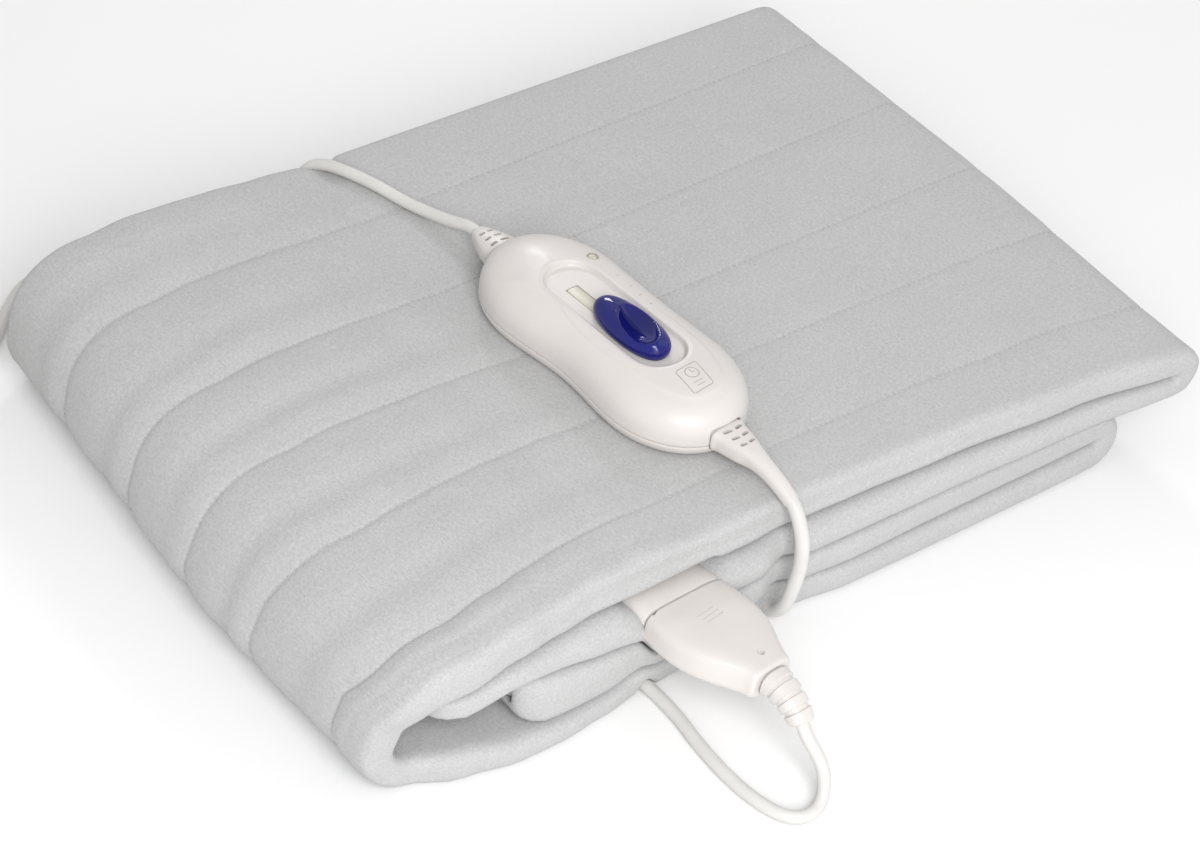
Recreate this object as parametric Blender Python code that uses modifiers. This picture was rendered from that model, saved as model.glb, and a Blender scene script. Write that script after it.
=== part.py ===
"""Heated mattress pad, folded up, with its coupler, controller and leads.

Metres, +Z up. The origin is under the middle of the folded pad, on the surface that
the pad lies on. X runs along the pad's long side, and the coupler comes out at the
front, towards -Y.
"""

import math
from collections import namedtuple

import bmesh
import bpy
from mathutils import Matrix, Vector

MM = 0.001
GAP = 0.3 * MM  # between two pieces that touch

# --- the pad: one quilted sheet, folded in three across and then in four along ---
FLAT_WIDTH = 0.80
PLY = 3.9 * MM
PLY_PITCH = 4.45 * MM
STRIP_HALF = PLY_PITCH + PLY / 2  # half of the three-ply strip's thickness
LAYER_PITCH = 14.5 * MM
BOTTOM_Z = STRIP_HALF  # middle of the lowest layer
TOP_Z = BOTTOM_Z + 3 * LAYER_PITCH  # middle of the highest layer
STACK_HEIGHT = TOP_Z + STRIP_HALF

FRONT_Y = -0.1308  # outermost line of the strip's front fold
FRONT_FOLD_Y = FRONT_Y + STRIP_HALF
EDGE_STEP_BACK = 1.0 * MM  # the free edge at the back lies this far inside the fold

UPPER_TIP_X = -0.1695  # free end between the top layer and the next
LOWER_TIP_X = -0.1350  # free end above the bottom layer
UPPER_FOLD_X = 0.1800  # bend centres of the two folds at the right
LOWER_FOLD_X = 0.1520
SHOULDER_X = -0.1665  # where the top layer starts to wrap down the left side
SHOULDER_RADIUS = 21 * MM
SHOULDER_TURN = 80
HEEL_RADIUS = 15 * MM
NOSE_REACH = 8 * MM  # how far from a free end its plies close up to a round nose
NOSE_SHARE = 0.42  # of their thickness that they keep at the very end
CORNER_REACH = 12 * MM  # how far from a free end its front corner rounds
CORNER_PULL = 6 * MM

# Sections across each layer, at these X; the close ones follow the dents.
PLAIN_STOPS = (
    -0.153, -0.130, -0.108, -0.0905, -0.0845, -0.0575, -0.052, -0.0465, -0.0416, -0.037,
    0.010, 0.080,
)
SOCKET_STOPS = (
    -0.153, -0.136, -0.118, -0.104, -0.0905, -0.0870, -0.0845, -0.066, -0.0465, -0.0416,
    -0.038, -0.0112, 0.036, 0.098,
)
GROOVE_STOPS = (
    *SOCKET_STOPS, -0.0815, -0.077, -0.0725, -0.0202, -0.0157, -0.0067, -0.0022,
)
TIP_STOPS = (3.0 * MM, 7.5 * MM)  # extra sections behind a free end

# Leads and what they press into the pad.
THIN_LEAD = 5.0 * MM
MAINS_LEAD = 5.6 * MM
ROUTE_STEPS = 16  # steps of the smooth curve between two points of a lead's route
THIN_GROOVE_X = -0.0770
MAINS_GROOVE_X = -0.0112
GROOVE_REACH = 9 * MM  # half width of the arch over a lead
GROOVE_CLEARANCE = 1.6 * MM
GROOVE_FADE = 14 * MM  # height at which the arch is gone
BACK_NOTCH_X = -0.0470  # where the thin lead comes up over the back edge
BACK_NOTCH_REACH = 10.5 * MM
BACK_NOTCH = 4.0 * MM  # how far it presses the edge in and down
BACK_RIM = 24 * MM  # of the top layer behind which the sections lie closer
UNDER_SOCKET = (11.5 * MM, 18.4 * MM, 25.5 * MM, 45.5 * MM)  # the layers' lines around it

# --- the coupler, in its own frame: its axis runs to -Y from the seam ---
SEAM = Vector((-0.0638, -0.1296, 0.0350))
COUPLER_YAW = 7.2
COUPLER_ROLL = 6.0
COUPLER_POINTS = 28
SOCKET_LENGTH = 24 * MM
SOCKET_HALF = (19.8 * MM, 7.0 * MM)
SEAM_GAP = 0.5 * MM
PLUG_BODY = (  # distance from the seam, half width, half thickness, all in mm
    (0.5, 19.2, 6.4),
    (1.3, 20.0, 7.0),
    (9.0, 21.0, 7.2),
    (17.0, 20.9, 7.3),
    (25.0, 19.0, 7.3),
    (31.5, 16.0, 7.1),
    (37.0, 12.8, 6.9),
    (41.5, 10.6, 6.6),
    (44.6, 9.7, 6.2),
    (45.6, 8.8, 5.4),
)
DIMPLE_AT = 38 * MM
COUPLER_RELIEF = (  # distance along, half width, half thickness, in mm
    (0.0, 6.2, 4.9),
    (0.8, 6.9, 5.5),
    (3.4, 6.7, 5.3),
    (3.8, 5.6, 4.5),
    (5.0, 5.6, 4.5),
    (5.4, 6.4, 5.1),
    (8.2, 6.2, 5.0),
    (8.6, 5.1, 4.2),
    (9.8, 5.1, 4.2),
    (10.2, 5.9, 4.8),
    (13.0, 5.6, 4.6),
    (13.4, 4.6, 3.9),
    (14.6, 4.6, 3.9),
    (15.0, 5.3, 4.5),
    (18.2, 4.9, 4.2),
    (19.0, 4.0, 3.5),
)
COUPLER_RELIEF_BEND = 50  # degrees that it droops over its length

# --- the controller, in its own frame: +Y points to its back end ---
CONTROLLER_AT = Vector((-0.0189, -0.0234, STACK_HEIGHT + GAP))
CONTROLLER_YAW = 4.1
SHELL_HALF_LENGTH = 65.8 * MM
SHELL_HALF_WIDTH = 28 * MM
LOBE_CENTRE = 32.5 * MM
WAIST_LEFT = 2.6 * MM
WAIST_RIGHT = 0.8 * MM
SHELL_POINTS = 56
BASE_SECTIONS = ((0.0, 4.2), (0.5, 2.6), (1.6, 1.2), (3.2, 0.4), (5.5, 0.0))  # z, inset, mm
COVER_SECTIONS = (  # z, inset from the outline, mm
    (5.8, 0.0), (8.5, 0.1), (11.5, 0.5), (14.5, 1.6), (17.2, 3.6), (19.4, 6.6),
    (20.9, 10.4), (21.9, 15.0), (22.5, 20.0), (22.8, 24.5),
)
RECESS_FLOOR = 20.0 * MM
RECESS_HALF_WIDTH = 10.8 * MM
RECESS_BACK = 35 * MM
RECESS_FRONT = -34.6 * MM
SLIDER_X = -1.1 * MM
SLIDER_FRONT = -30.0 * MM
SLIDER_BACK = 8.6 * MM
SLIDER_HALF_WIDTH = 8.8 * MM
SLIDER_SECTIONS = (  # height above the recess floor, inset, mm
    (0.3, 0.6), (1.6, 0.1), (3.4, 0.0), (5.0, 0.5), (6.2, 1.6), (7.0, 3.2), (7.4, 5.4),
)
SLIDER_POINTS = 36
WINDOW_X = -2.0 * MM
WINDOW_BACK = 22.8 * MM
WINDOW_FRONT = -2.0 * MM
WINDOW_HALF_WIDTH = 2.75 * MM
WINDOW_DEPTH = 1.2 * MM
INDICATOR_AT = (16.2 * MM, 32.0 * MM)
INDICATOR_RADIUS = 2.0 * MM
INDICATOR_HEIGHT = 21.5 * MM
RELIEF_HEIGHT = 8.0 * MM  # axis of both strain reliefs above the controller's foot
RELIEF_ROOT = SHELL_HALF_LENGTH - 7.5 * MM
RELIEF_POCKET = (7.8 * MM, 4.9 * MM)
FRONT_RELIEF = (  # distance past the shell's end, half width, half thickness, in mm
    (-7.5, 7.5, 4.6), (-0.9, 7.5, 4.6), (-0.8, 8.1, 4.6), (0.0, 8.5, 4.9), (4.0, 8.2, 4.9),
    (10.0, 7.0, 4.6), (15.0, 5.8, 4.2), (20.0, 4.8, 3.9), (27.0, 3.9, 3.6), (36.0, 3.2, 3.2),
)
BACK_RELIEF = (
    (-7.5, 7.5, 4.6), (-0.9, 7.5, 4.6), (-0.8, 8.0, 4.6), (0.0, 8.4, 4.8), (3.0, 7.9, 4.7),
    (8.0, 6.3, 4.2), (12.0, 4.7, 3.7), (15.0, 3.4, 3.1),
)
RELIEF_BEND_FROM = 12 * MM
RELIEF_DROP = 7.5  # the axis falls by this times the square of the length past there
SLOT_ROWS = (2.5 * MM, 6.5 * MM, 10.5 * MM)
SLOT_SIZE = (3.2 * MM, 1.1 * MM)

# --- the coil of the unseen lead, and the mains plug ---
COIL_CENTRE = Vector((-0.2481, 0.1546, 0.0))
COIL_RADIUS = 33.5 * MM  # to the middle of the turns
COIL_TURNS_ACROSS = 3
COIL_LAYERS = 2
PLUG_RELIEF = ((0.0, 3.5, 3.5), (3.0, 3.9, 3.9), (28.0, 5.6, 5.0))  # mm
MAINS_PLUG = (
    (36.0, 7.0, 5.6), (38.0, 10.0, 6.2), (44.0, 15.6, 6.8), (50.0, 17.4, 6.8),
    (68.0, 17.6, 6.8), (72.0, 15.4, 6.4), (73.0, 14.6, 5.9),
)
COIL_EXIT_HEIGHT = 8.6 * MM  # where the lead leaves the coil's upper layer
PLUG_HEIGHT = 6.9 * MM  # its axis over the floor
PIN_SPACING = 18.6 * MM
PIN_RADIUS = 2.0 * MM
PIN_LENGTH = 19 * MM
PIN_SEAT = 5 * MM

COLOURS = {  # base colour, roughness, metallic
    "fleece": ((0.56, 0.57, 0.58), 0.95, 0.0),
    "ivory_plastic": ((0.84, 0.80, 0.77), 0.35, 0.0),
    "lead_pvc": ((0.85, 0.83, 0.80), 0.45, 0.0),
    "blue_plastic": ((0.02, 0.02, 0.26), 0.2, 0.0),
    "window_plastic": ((0.66, 0.68, 0.60), 0.3, 0.0),
    "pin_metal": ((0.75, 0.73, 0.68), 0.25, 1.0),
}

Run = namedtuple("Run", "length turn sections")
Edge = namedtuple("Edge", "x out_1 out_2 out_3 out_4 up_1 up_2 up_3 up_top")

# How the pad's front edge wanders, in mm. out_1 to out_4 move the layers, from the
# lowest to the highest, out to the front. up_1 to up_3 lift the three lines between
# layers there, and up_top lifts the whole height, from front to back.
FRONT_EDGE = tuple(
    Edge(*row)
    for row in (
        (-0.202, -9, -9, -8, -5, 0, 0, 0, 1),
        (-0.178, -6, -6, -5, 0, 0, -3, -6, 1.5),
        (-0.158, 2, 0, 0, 1, 0, -1, -5, 3.5),
        (-0.136, 6, 3, 2, -1, -3.5, 4, -2, 6),
        (-0.118, 6, 3, 1, -4, -5, 2, -1.5, 5.5),
        (-0.100, 4, 3, 2, -7, -5, 0, 0, 4.5),
        (-0.077, 1, 1, 3, -9, -2, -1.5, 0, 2.5),
        (-0.048, -1, -1, 0, -9, 0, 0, 0, 0),
        (-0.030, -1, -1, 0, -9, 0, 0, 0, 0),
        (-0.012, -7, -4, -3, -9, 0, 0, 0, 0),
        (0.002, -4, -2, -1, -9, 0, 0, 0, 0),
        (0.022, -1.5, -1, -1, -8, 0, 0, 0, 0),
        (0.067, -1, -2, 0, -6, 0, 0, 0, 0),
        (0.128, -1, -2, 2, -1, 0, 0, 0, 0),
        (0.190, -2, -2, 7, 8, 0, 0, 0, 0),
    )
)
EDGE_FADE_OUT = 0.15  # how far behind the front the outward moves fade
EDGE_FADE_UP = 0.07
BACK_CORNER_PULL = 4 * MM  # the left side draws in towards the back
SIDE_BULGE = 4 * MM
RIGHT_SWELL = 6 * MM  # the folds at the right stand out this much more towards the back

# The two lines from front to back where the leads run below the pad, and their routes.
THIN_ROUTE = (  # from the coupler's relief, over the floor, under the pad and up its back
    (-0.0546, -0.2035, 0.0135),
    (-0.0565, -0.2080, 0.0062),
    (-0.0605, -0.2105, 0.0032),
    (-0.0665, -0.2115, 0.0027),
    (-0.0720, -0.2085, 0.0027),
    (-0.0755, -0.2020, 0.0027),
    (-0.0778, -0.1920, 0.0027),
    (-0.0786, -0.1790, 0.0027),
    (-0.0778, -0.1640, 0.0027),
    (-0.0762, -0.1500, 0.0027),
    (-0.0760, -0.1380, 0.0027),
    (-0.0770, -0.1240, 0.0027),
    (-0.0770, -0.0900, 0.0027),
    (-0.0770, 0.0000, 0.0027),
    (-0.0770, 0.0900, 0.0027),
    (-0.0770, 0.1270, 0.0027),
    (-0.0760, 0.1400, 0.0036),
    (-0.0730, 0.1480, 0.0095),
    (-0.0685, 0.1480, 0.0200),
    (-0.0600, 0.1462, 0.0350),
    (-0.0528, 0.1440, 0.0460),
    (-0.0490, 0.1402, 0.0532),
    (-0.0462, 0.1335, 0.0569),
    (-0.0434, 0.1250, 0.0586),
    (-0.0385, 0.1110, 0.0592),
    (-0.0330, 0.0920, 0.0592),
    (-0.0282, 0.0740, 0.0618),
)
MAINS_ROUTE = (  # from the controller's front relief, over the edge, under the pad and out
    (-0.0120, -0.1310, 0.0560),
    (-0.0125, -0.1370, 0.0480),
    (-0.0126, -0.1398, 0.0400),
    (-0.0122, -0.1397, 0.0280),
    (-0.0118, -0.1371, 0.0142),
    (-0.0115, -0.1333, 0.0092),
    (-0.0113, -0.1278, 0.0053),
    (-0.0112, -0.1166, 0.0030),
    (-0.0112, -0.1000, 0.0030),
    (-0.0112, 0.0000, 0.0030),
    (-0.0112, 0.1240, 0.0030),
    (-0.0124, 0.1420, 0.0030),
    (-0.0232, 0.1590, 0.0030),
    (-0.0460, 0.1700, 0.0030),
    (-0.0780, 0.1760, 0.0030),
    (-0.1120, 0.1840, 0.0030),
    (-0.1360, 0.1880, 0.0030),
    (-0.1560, 0.1860, 0.0030),
    (-0.1700, 0.1760, 0.0030),
    (-0.1840, 0.1620, 0.0030),
    (-0.1980, 0.1480, 0.0030),
    (-0.2059, 0.1406, 0.0030),
)


# ---------------------------------------------------------------- helpers


def clear_scene():
    """Remove what the new file holds."""
    for item in list(bpy.data.objects):
        bpy.data.objects.remove(item, do_unlink=True)


def collection(name):
    """A new collection in the scene."""
    new = bpy.data.collections.new(name)
    bpy.context.scene.collection.children.link(new)
    return new


def material(name):
    """The named finish, as a Principled material."""
    if name in bpy.data.materials:
        return bpy.data.materials[name]
    colour, roughness, metallic = COLOURS[name]
    new = bpy.data.materials.new(name)
    new.use_nodes = True
    shader = new.node_tree.nodes["Principled BSDF"]
    shader.inputs["Base Color"].default_value = (*colour, 1.0)
    shader.inputs["Roughness"].default_value = roughness
    shader.inputs["Metallic"].default_value = metallic
    return new


def add_object(name, data, finish, parent=None):
    """Put a mesh or curve in the model's collection."""
    new = bpy.data.objects.new(name, data)
    PARTS.objects.link(new)
    new.data.materials.append(material(finish))
    new.parent = parent
    return new


def cutter_from(mesh, name, parent=None):
    """A guide object that only cuts others."""
    new = bpy.data.objects.new(name, mesh)
    CUTTERS.objects.link(new)
    new.display_type = "WIRE"
    new.hide_render = True
    new.parent = parent
    return new


def cut(target, cutter):
    """Take the cutter's volume out of the target."""
    modifier = target.modifiers.new(cutter.name, "BOOLEAN")
    modifier.object = cutter
    modifier.operation = "DIFFERENCE"
    modifier.solver = "EXACT"


def box_mesh(name, low, high):
    """A box between two corners."""
    shape = bmesh.new()
    bmesh.ops.create_cube(shape, size=1.0)
    low, high = Vector(low), Vector(high)
    for vertex in shape.verts:
        vertex.co = Vector(
            low[axis] + (vertex.co[axis] + 0.5) * (high[axis] - low[axis]) for axis in range(3)
        )
    return finish_mesh(shape, name)


def cylinder_mesh(name, radius, bottom, top, points=24):
    """An upright cylinder on its own axis."""
    shape = bmesh.new()
    bmesh.ops.create_cone(
        shape, cap_ends=True, segments=points, radius1=radius, radius2=radius, depth=top - bottom
    )
    bmesh.ops.translate(shape, verts=shape.verts, vec=(0, 0, (top + bottom) / 2))
    return finish_mesh(shape, name)


def finish_mesh(shape, name):
    """Turn a bmesh into a mesh with its faces pointing out."""
    bmesh.ops.recalc_face_normals(shape, faces=shape.faces)
    mesh = bpy.data.meshes.new(name)
    shape.to_mesh(mesh)
    shape.free()
    return mesh


def loft_mesh(name, rings):
    """Skin a row of rings that have as many points each, and close both ends."""
    shape = bmesh.new()
    rows = [[shape.verts.new(point) for point in ring] for ring in rings]
    count = len(rows[0])
    for near, far in zip(rows, rows[1:]):
        for here in range(count):
            there = (here + 1) % count
            shape.faces.new((near[here], near[there], far[there], far[here]))
    shape.faces.new(rows[0])
    shape.faces.new(rows[-1])
    return finish_mesh(shape, name)


def round_off(mesh):
    """Smooth shading with sharp edges kept."""
    mesh.shade_smooth()
    mesh.set_sharp_from_angle(angle=math.radians(35))
    return mesh


def superellipse(half_width, half_height, points, power=3.6):
    """Points (across, up) of a rounded rectangle."""
    ring = []
    for index in range(points):
        angle = 2 * math.pi * (index + 0.5) / points
        side, rise = math.cos(angle), math.sin(angle)
        ring.append(
            (
                half_width * math.copysign(abs(side) ** (2 / power), side),
                half_height * math.copysign(abs(rise) ** (2 / power), rise),
            )
        )
    return ring


def smoothstep(value):
    """Ease from 0 to 1."""
    value = min(max(value, 0.0), 1.0)
    return value * value * (3 - 2 * value)


def bell(distance, reach):
    """1 at no distance, 0 from the reach on."""
    if abs(distance) >= reach:
        return 0.0
    return 0.5 + 0.5 * math.cos(math.pi * distance / reach)


def table_at(rows, key, x):
    """A column of a table of named rows, eased between the rows around x."""
    if x <= rows[0].x:
        return getattr(rows[0], key)
    for left, right in zip(rows, rows[1:]):
        if x <= right.x:
            share = smoothstep((x - left.x) / (right.x - left.x))
            return getattr(left, key) * (1 - share) + getattr(right, key) * share
    return getattr(rows[-1], key)


def between(levels, values, height):
    """Straight lines through (level, value), carried on past both ends."""
    index = 0
    while index < len(levels) - 2 and height > levels[index + 1]:
        index += 1
    share = (height - levels[index]) / (levels[index + 1] - levels[index])
    return values[index] + share * (values[index + 1] - values[index])


# ---------------------------------------------------------------- the pad


def walk(start, heading, runs):
    """Stations (u, v, heading) along straight and round runs, end to end."""
    u, v = start
    stations = [(u, v, heading)]
    for run in runs:
        turn = math.radians(run.turn) / run.sections
        step = run.length / run.sections
        chord = step if turn == 0 else 2 * step / turn * math.sin(turn / 2)
        for _ in range(run.sections):
            u += chord * math.cos(heading + turn / 2)
            v += chord * math.sin(heading + turn / 2)
            heading += turn
            stations.append((u, v, heading))
    return stations


def layer_runs(start, end, stops):
    """The straight runs of one layer, with a section at each stop on its way."""
    low, high = sorted((start, end))
    inner = sorted((stop for stop in stops if low + 2 * MM < stop < high - 2 * MM), reverse=end < start)
    marks = [start, *inner, end]
    return [Run(abs(b - a), 0, 1) for a, b in zip(marks, marks[1:])]


def with_tip_stops(tip_x):
    """The close sections, and a few more behind the free end at this X."""
    return (*(tip_x + stop for stop in TIP_STOPS), *SOCKET_STOPS)


def fold_runs(radius, degrees, sections):
    """A round run of a given radius."""
    return [Run(radius * math.radians(degrees), degrees, sections)]


def long_fold():
    """The strip's middle line in the XZ plane, from the upper free end to the lower."""
    side_turn = math.radians(SHOULDER_TURN)
    heel_turn = math.pi - side_turn
    drop = 3 * LAYER_PITCH
    drop -= SHOULDER_RADIUS * (1 - math.cos(side_turn)) + HEEL_RADIUS * (1 - math.cos(heel_turn))
    side = drop / math.sin(side_turn)
    heel_x = SHOULDER_X - SHOULDER_RADIUS * math.sin(side_turn) - side * math.cos(side_turn)
    heel_x += HEEL_RADIUS * math.sin(heel_turn)
    runs = [
        *layer_runs(UPPER_TIP_X, UPPER_FOLD_X, with_tip_stops(UPPER_TIP_X)),
        *fold_runs(LAYER_PITCH / 2, 180, 6),
        *layer_runs(UPPER_FOLD_X, SHOULDER_X, PLAIN_STOPS),
        *fold_runs(SHOULDER_RADIUS, SHOULDER_TURN, 5),
        Run(side, 0, 1),
        *fold_runs(HEEL_RADIUS, 180 - SHOULDER_TURN, 5),
        *layer_runs(heel_x, LOWER_FOLD_X, GROOVE_STOPS),
        *fold_runs(LAYER_PITCH / 2, 180, 6),
        *layer_runs(LOWER_FOLD_X, LOWER_TIP_X, with_tip_stops(LOWER_TIP_X)),
    ]
    return walk((UPPER_TIP_X, TOP_Z - LAYER_PITCH), 0.0, runs)


def cross_fold():
    """The strip's own section: (y, height over its middle, heading), folded in three."""
    folds = math.pi * (PLY_PITCH + PLY_PITCH / 2)
    ply = (FLAT_WIDTH - folds + PLY_PITCH / 2 + PLY / 2 - EDGE_STEP_BACK) / 3
    edge_y = FRONT_FOLD_Y + ply - EDGE_STEP_BACK + PLY_PITCH / 2 + PLY / 2
    back = ply * 0.62
    runs = [
        Run(edge_y - FRONT_FOLD_Y - (ply - back), 0, 1),
        Run(ply - back, 0, 3),
        Run(PLY_PITCH * math.pi, -180, 6),
        Run(ply - back, 0, 3),
        Run(back - BACK_RIM, 0, 1),
        Run(BACK_RIM, 0, 2),
        Run(PLY_PITCH / 2 * math.pi, -180, 4),
        Run(back, 0, 1),
        Run(ply - back, 0, 3),
    ]
    return walk((edge_y, -PLY_PITCH), math.pi, runs)


def arch(x, y, groove_x, diameter):
    """How far the floor side lifts over a lead that runs from front to back."""
    flare = 0.8 * MM * smoothstep((abs(y - 0.004) - 0.100) / 0.030)
    return (diameter + GROOVE_CLEARANCE + flare) * bell(x - groove_x, GROOVE_REACH)


def socket_dent(x, y):
    """1 where the coupler's socket lies between the two upper layers."""
    axis_x = SEAM.x - (y - SEAM.y) * math.tan(math.radians(COUPLER_YAW))
    across = smoothstep((SOCKET_HALF[0] + 5.4 * MM - abs(x - axis_x)) / (3.5 * MM))
    return across * smoothstep((-0.069 - y) / 0.020)


def close_nose(x, z):
    """The height of a point once the plies of a free end have closed up to a round nose."""
    for tip_x, middle in ((UPPER_TIP_X, TOP_Z - LAYER_PITCH), (LOWER_TIP_X, BOTTOM_Z + LAYER_PITCH)):
        behind = x - tip_x
        if -1 * MM < behind < NOSE_REACH and abs(z - middle) < LAYER_PITCH / 2:
            curve = math.sqrt(1 - (1 - max(behind, 0.0) / NOSE_REACH) ** 2)
            return middle + (z - middle) * (NOSE_SHARE + (1 - NOSE_SHARE) * curve)
    return z


def settle(point):
    """Move a point of the neatly folded pad to where the soft stack really lies."""
    x, y, z = point
    z = close_nose(x, z)
    near = smoothstep((FRONT_Y + EDGE_FADE_OUT - y) / EDGE_FADE_OUT)
    near_up = smoothstep((FRONT_Y + EDGE_FADE_UP - y) / EDGE_FADE_UP)
    layers = [BOTTOM_Z + index * LAYER_PITCH for index in range(4)]
    outs = [table_at(FRONT_EDGE, f"out_{index + 1}", x) * MM for index in range(4)]
    height = min(max(z, layers[0]), layers[-1])
    index = min(int((height - layers[0]) / LAYER_PITCH), 2)
    share = smoothstep((height - layers[index]) / LAYER_PITCH)
    out = outs[index] * (1 - share) + outs[index + 1] * share

    lines = [BOTTOM_Z + (index + 0.5) * LAYER_PITCH for index in range(3)]
    slack = LAYER_PITCH / 2 - STRIP_HALF
    levels = [0.0, lines[0], lines[1], lines[2] - slack, lines[2] + slack, STACK_HEIGHT]
    rise = table_at(FRONT_EDGE, "up_top", x) * MM
    ups = [table_at(FRONT_EDGE, key, x) * MM * near_up for key in ("up_1", "up_2", "up_3")]
    lifts = [0.0, ups[0], ups[1], ups[2], ups[2], 0.0]
    groove = arch(x, y, THIN_GROOVE_X, THIN_LEAD) + arch(x, y, MAINS_GROOVE_X, MAINS_LEAD)
    heights = []
    for level, lift in zip(levels, lifts):
        lift += rise * level / STACK_HEIGHT
        lift += groove * max(0.0, 1 - level / GROOVE_FADE)
        heights.append(level + lift)
    dent = socket_dent(x, y)
    if dent > 0:
        for index, pressed in enumerate(UNDER_SOCKET, start=1):
            heights[index] += dent * (pressed - heights[index])
    new_z = between(levels, heights, z)

    left = smoothstep((-0.128 - x) / 0.06)
    back_pull = BACK_CORNER_PULL * smoothstep((y - 0.02) / 0.13)
    low_bulge = SIDE_BULGE * bell(y + 0.03, 0.11) * smoothstep((0.045 - z) / 0.03)
    right = smoothstep((x - 0.09) / 0.09) * smoothstep((y - FRONT_Y) / 0.15)
    new_x = x + left * (back_pull - low_bulge) + right * RIGHT_SWELL
    notch = BACK_NOTCH * bell(x - BACK_NOTCH_X, BACK_NOTCH_REACH) * smoothstep((y - 0.116) / 0.018)
    new_y = y - out * near - notch * smoothstep(z / 0.03)
    new_z -= notch * smoothstep((z - 0.028) / 0.028)
    return Vector((new_x, new_y, new_z if abs(new_z) > 1e-6 else 0.0))


def run_lengths(stations):
    """How far along its path each station lies."""
    lengths = [0.0]
    for (u0, v0, _), (u1, v1, _) in zip(stations, stations[1:]):
        lengths.append(lengths[-1] + math.hypot(u1 - u0, v1 - v0))
    return lengths


def make_pad():
    """The folded sheet: an open grid, folded, given its thickness and then settled."""
    path = long_fold()
    section = cross_fold()
    runs = run_lengths(path)
    shape = bmesh.new()
    rows, columns = len(path) - 1, len(section) - 1
    bmesh.ops.create_grid(shape, x_segments=rows, y_segments=columns, size=0.5)
    for vertex in shape.verts:
        row = round((vertex.co.x + 0.5) * rows)
        column = round((vertex.co.y + 0.5) * columns)
        x, z, heading = path[row]
        y, height, _ = section[column]
        corner = max(0.0, 1 - min(runs[row], runs[rows] - runs[row]) / CORNER_REACH)
        y += CORNER_PULL * corner * corner * smoothstep((FRONT_Y + 0.05 - y) / 0.05)
        vertex.co = (x + height * math.sin(heading), y, z - height * math.cos(heading))
    mesh = finish_mesh(shape, "folded sheet")
    guide = bpy.data.objects.new("folded sheet", mesh)
    CUTTERS.objects.link(guide)
    thicken = guide.modifiers.new("ply", "SOLIDIFY")
    thicken.thickness = PLY
    thicken.offset = 0.0
    thicken.use_even_offset = True
    evaluated = guide.evaluated_get(bpy.context.evaluated_depsgraph_get())
    solid = bpy.data.meshes.new_from_object(evaluated)
    bpy.data.objects.remove(guide, do_unlink=True)
    for vertex in solid.vertices:
        vertex.co = settle(vertex.co)
    solid.name = "pad"
    solid.materials.clear()
    return add_object("pad", round_off(solid), "fleece")


# ---------------------------------------------------------------- the coupler


def coupler_frame():
    """An empty at the seam, turned to the coupler's axis."""
    frame = bpy.data.objects.new("coupler_axis", None)
    PARTS.objects.link(frame)
    turn = Matrix.Rotation(math.radians(COUPLER_YAW), 4, "Z")
    roll = Matrix.Rotation(math.radians(COUPLER_ROLL), 4, "Y")
    frame.matrix_world = Matrix.Translation(SEAM) @ turn @ roll
    return frame


def straight_rings(sections, points, power=3.6):
    """Rings along -Y from rows of (distance, half width, half thickness) in mm."""
    rings = []
    for distance, half_width, half_height in sections:
        ring = superellipse(half_width * MM, half_height * MM, points, power)
        rings.append([Vector((x, -distance * MM, z)) for x, z in ring])
    return rings


def make_coupler(frame):
    """The socket on the pad, the plug in it, and the plug's ribbed relief."""
    width, height = SOCKET_HALF[0] / MM, SOCKET_HALF[1] / MM
    length = SOCKET_LENGTH / MM
    socket_sections = (
        (-length, width - 1.8, height - 1.4),
        (-length + 1.2, width - 0.6, height - 0.3),
        (-length * 0.5, width, height),
        (-0.8, width, height),
        (0.0, width - 0.6, height - 0.5),
    )
    socket = loft_mesh("coupler_socket", straight_rings(socket_sections, COUPLER_POINTS))
    add_object("coupler_socket", round_off(socket), "ivory_plastic", frame)
    body = loft_mesh("coupler_plug", straight_rings(PLUG_BODY, COUPLER_POINTS))
    plug = add_object("coupler_plug", round_off(body), "ivory_plastic", frame)
    dimple_shape = bmesh.new()
    bmesh.ops.create_uvsphere(dimple_shape, u_segments=12, v_segments=8, radius=2.0 * MM)
    dimple = cutter_from(finish_mesh(dimple_shape, "dimple"), "dimple", frame)
    dimple.location = (0.5 * MM, -DIMPLE_AT, 8.0 * MM)
    cut(plug, dimple)

    bend = math.radians(COUPLER_RELIEF_BEND)
    length = COUPLER_RELIEF[-1][0] * MM
    radius = length / bend
    start = PLUG_BODY[-1][0] * MM + GAP
    rings = []
    for distance, half_width, half_height in COUPLER_RELIEF:
        angle = bend * distance * MM / length
        middle = Vector((0, -start - radius * math.sin(angle), -radius * (1 - math.cos(angle))))
        up = Vector((0, -math.sin(angle), math.cos(angle)))
        ring = superellipse(half_width * MM, half_height * MM, 20, 2.6)
        rings.append([middle + Vector((x, 0, 0)) + up * z for x, z in ring])
    relief = loft_mesh("coupler_relief", rings)
    add_object("coupler_relief", round_off(relief), "ivory_plastic", frame)
    tip = Vector((0, -start - radius * math.sin(bend), -radius * (1 - math.cos(bend))))
    heading = Vector((0, -math.cos(bend), -math.sin(bend)))
    world = frame.matrix_world
    return world @ tip, world.to_3x3() @ heading


# ---------------------------------------------------------------- the controller


def controller_frame():
    """An empty under the controller's middle, on the pad."""
    frame = bpy.data.objects.new("controller_axis", None)
    PARTS.objects.link(frame)
    turn = Matrix.Rotation(math.radians(CONTROLLER_YAW), 4, "Z")
    frame.matrix_world = Matrix.Translation(CONTROLLER_AT) @ turn
    return frame


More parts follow.
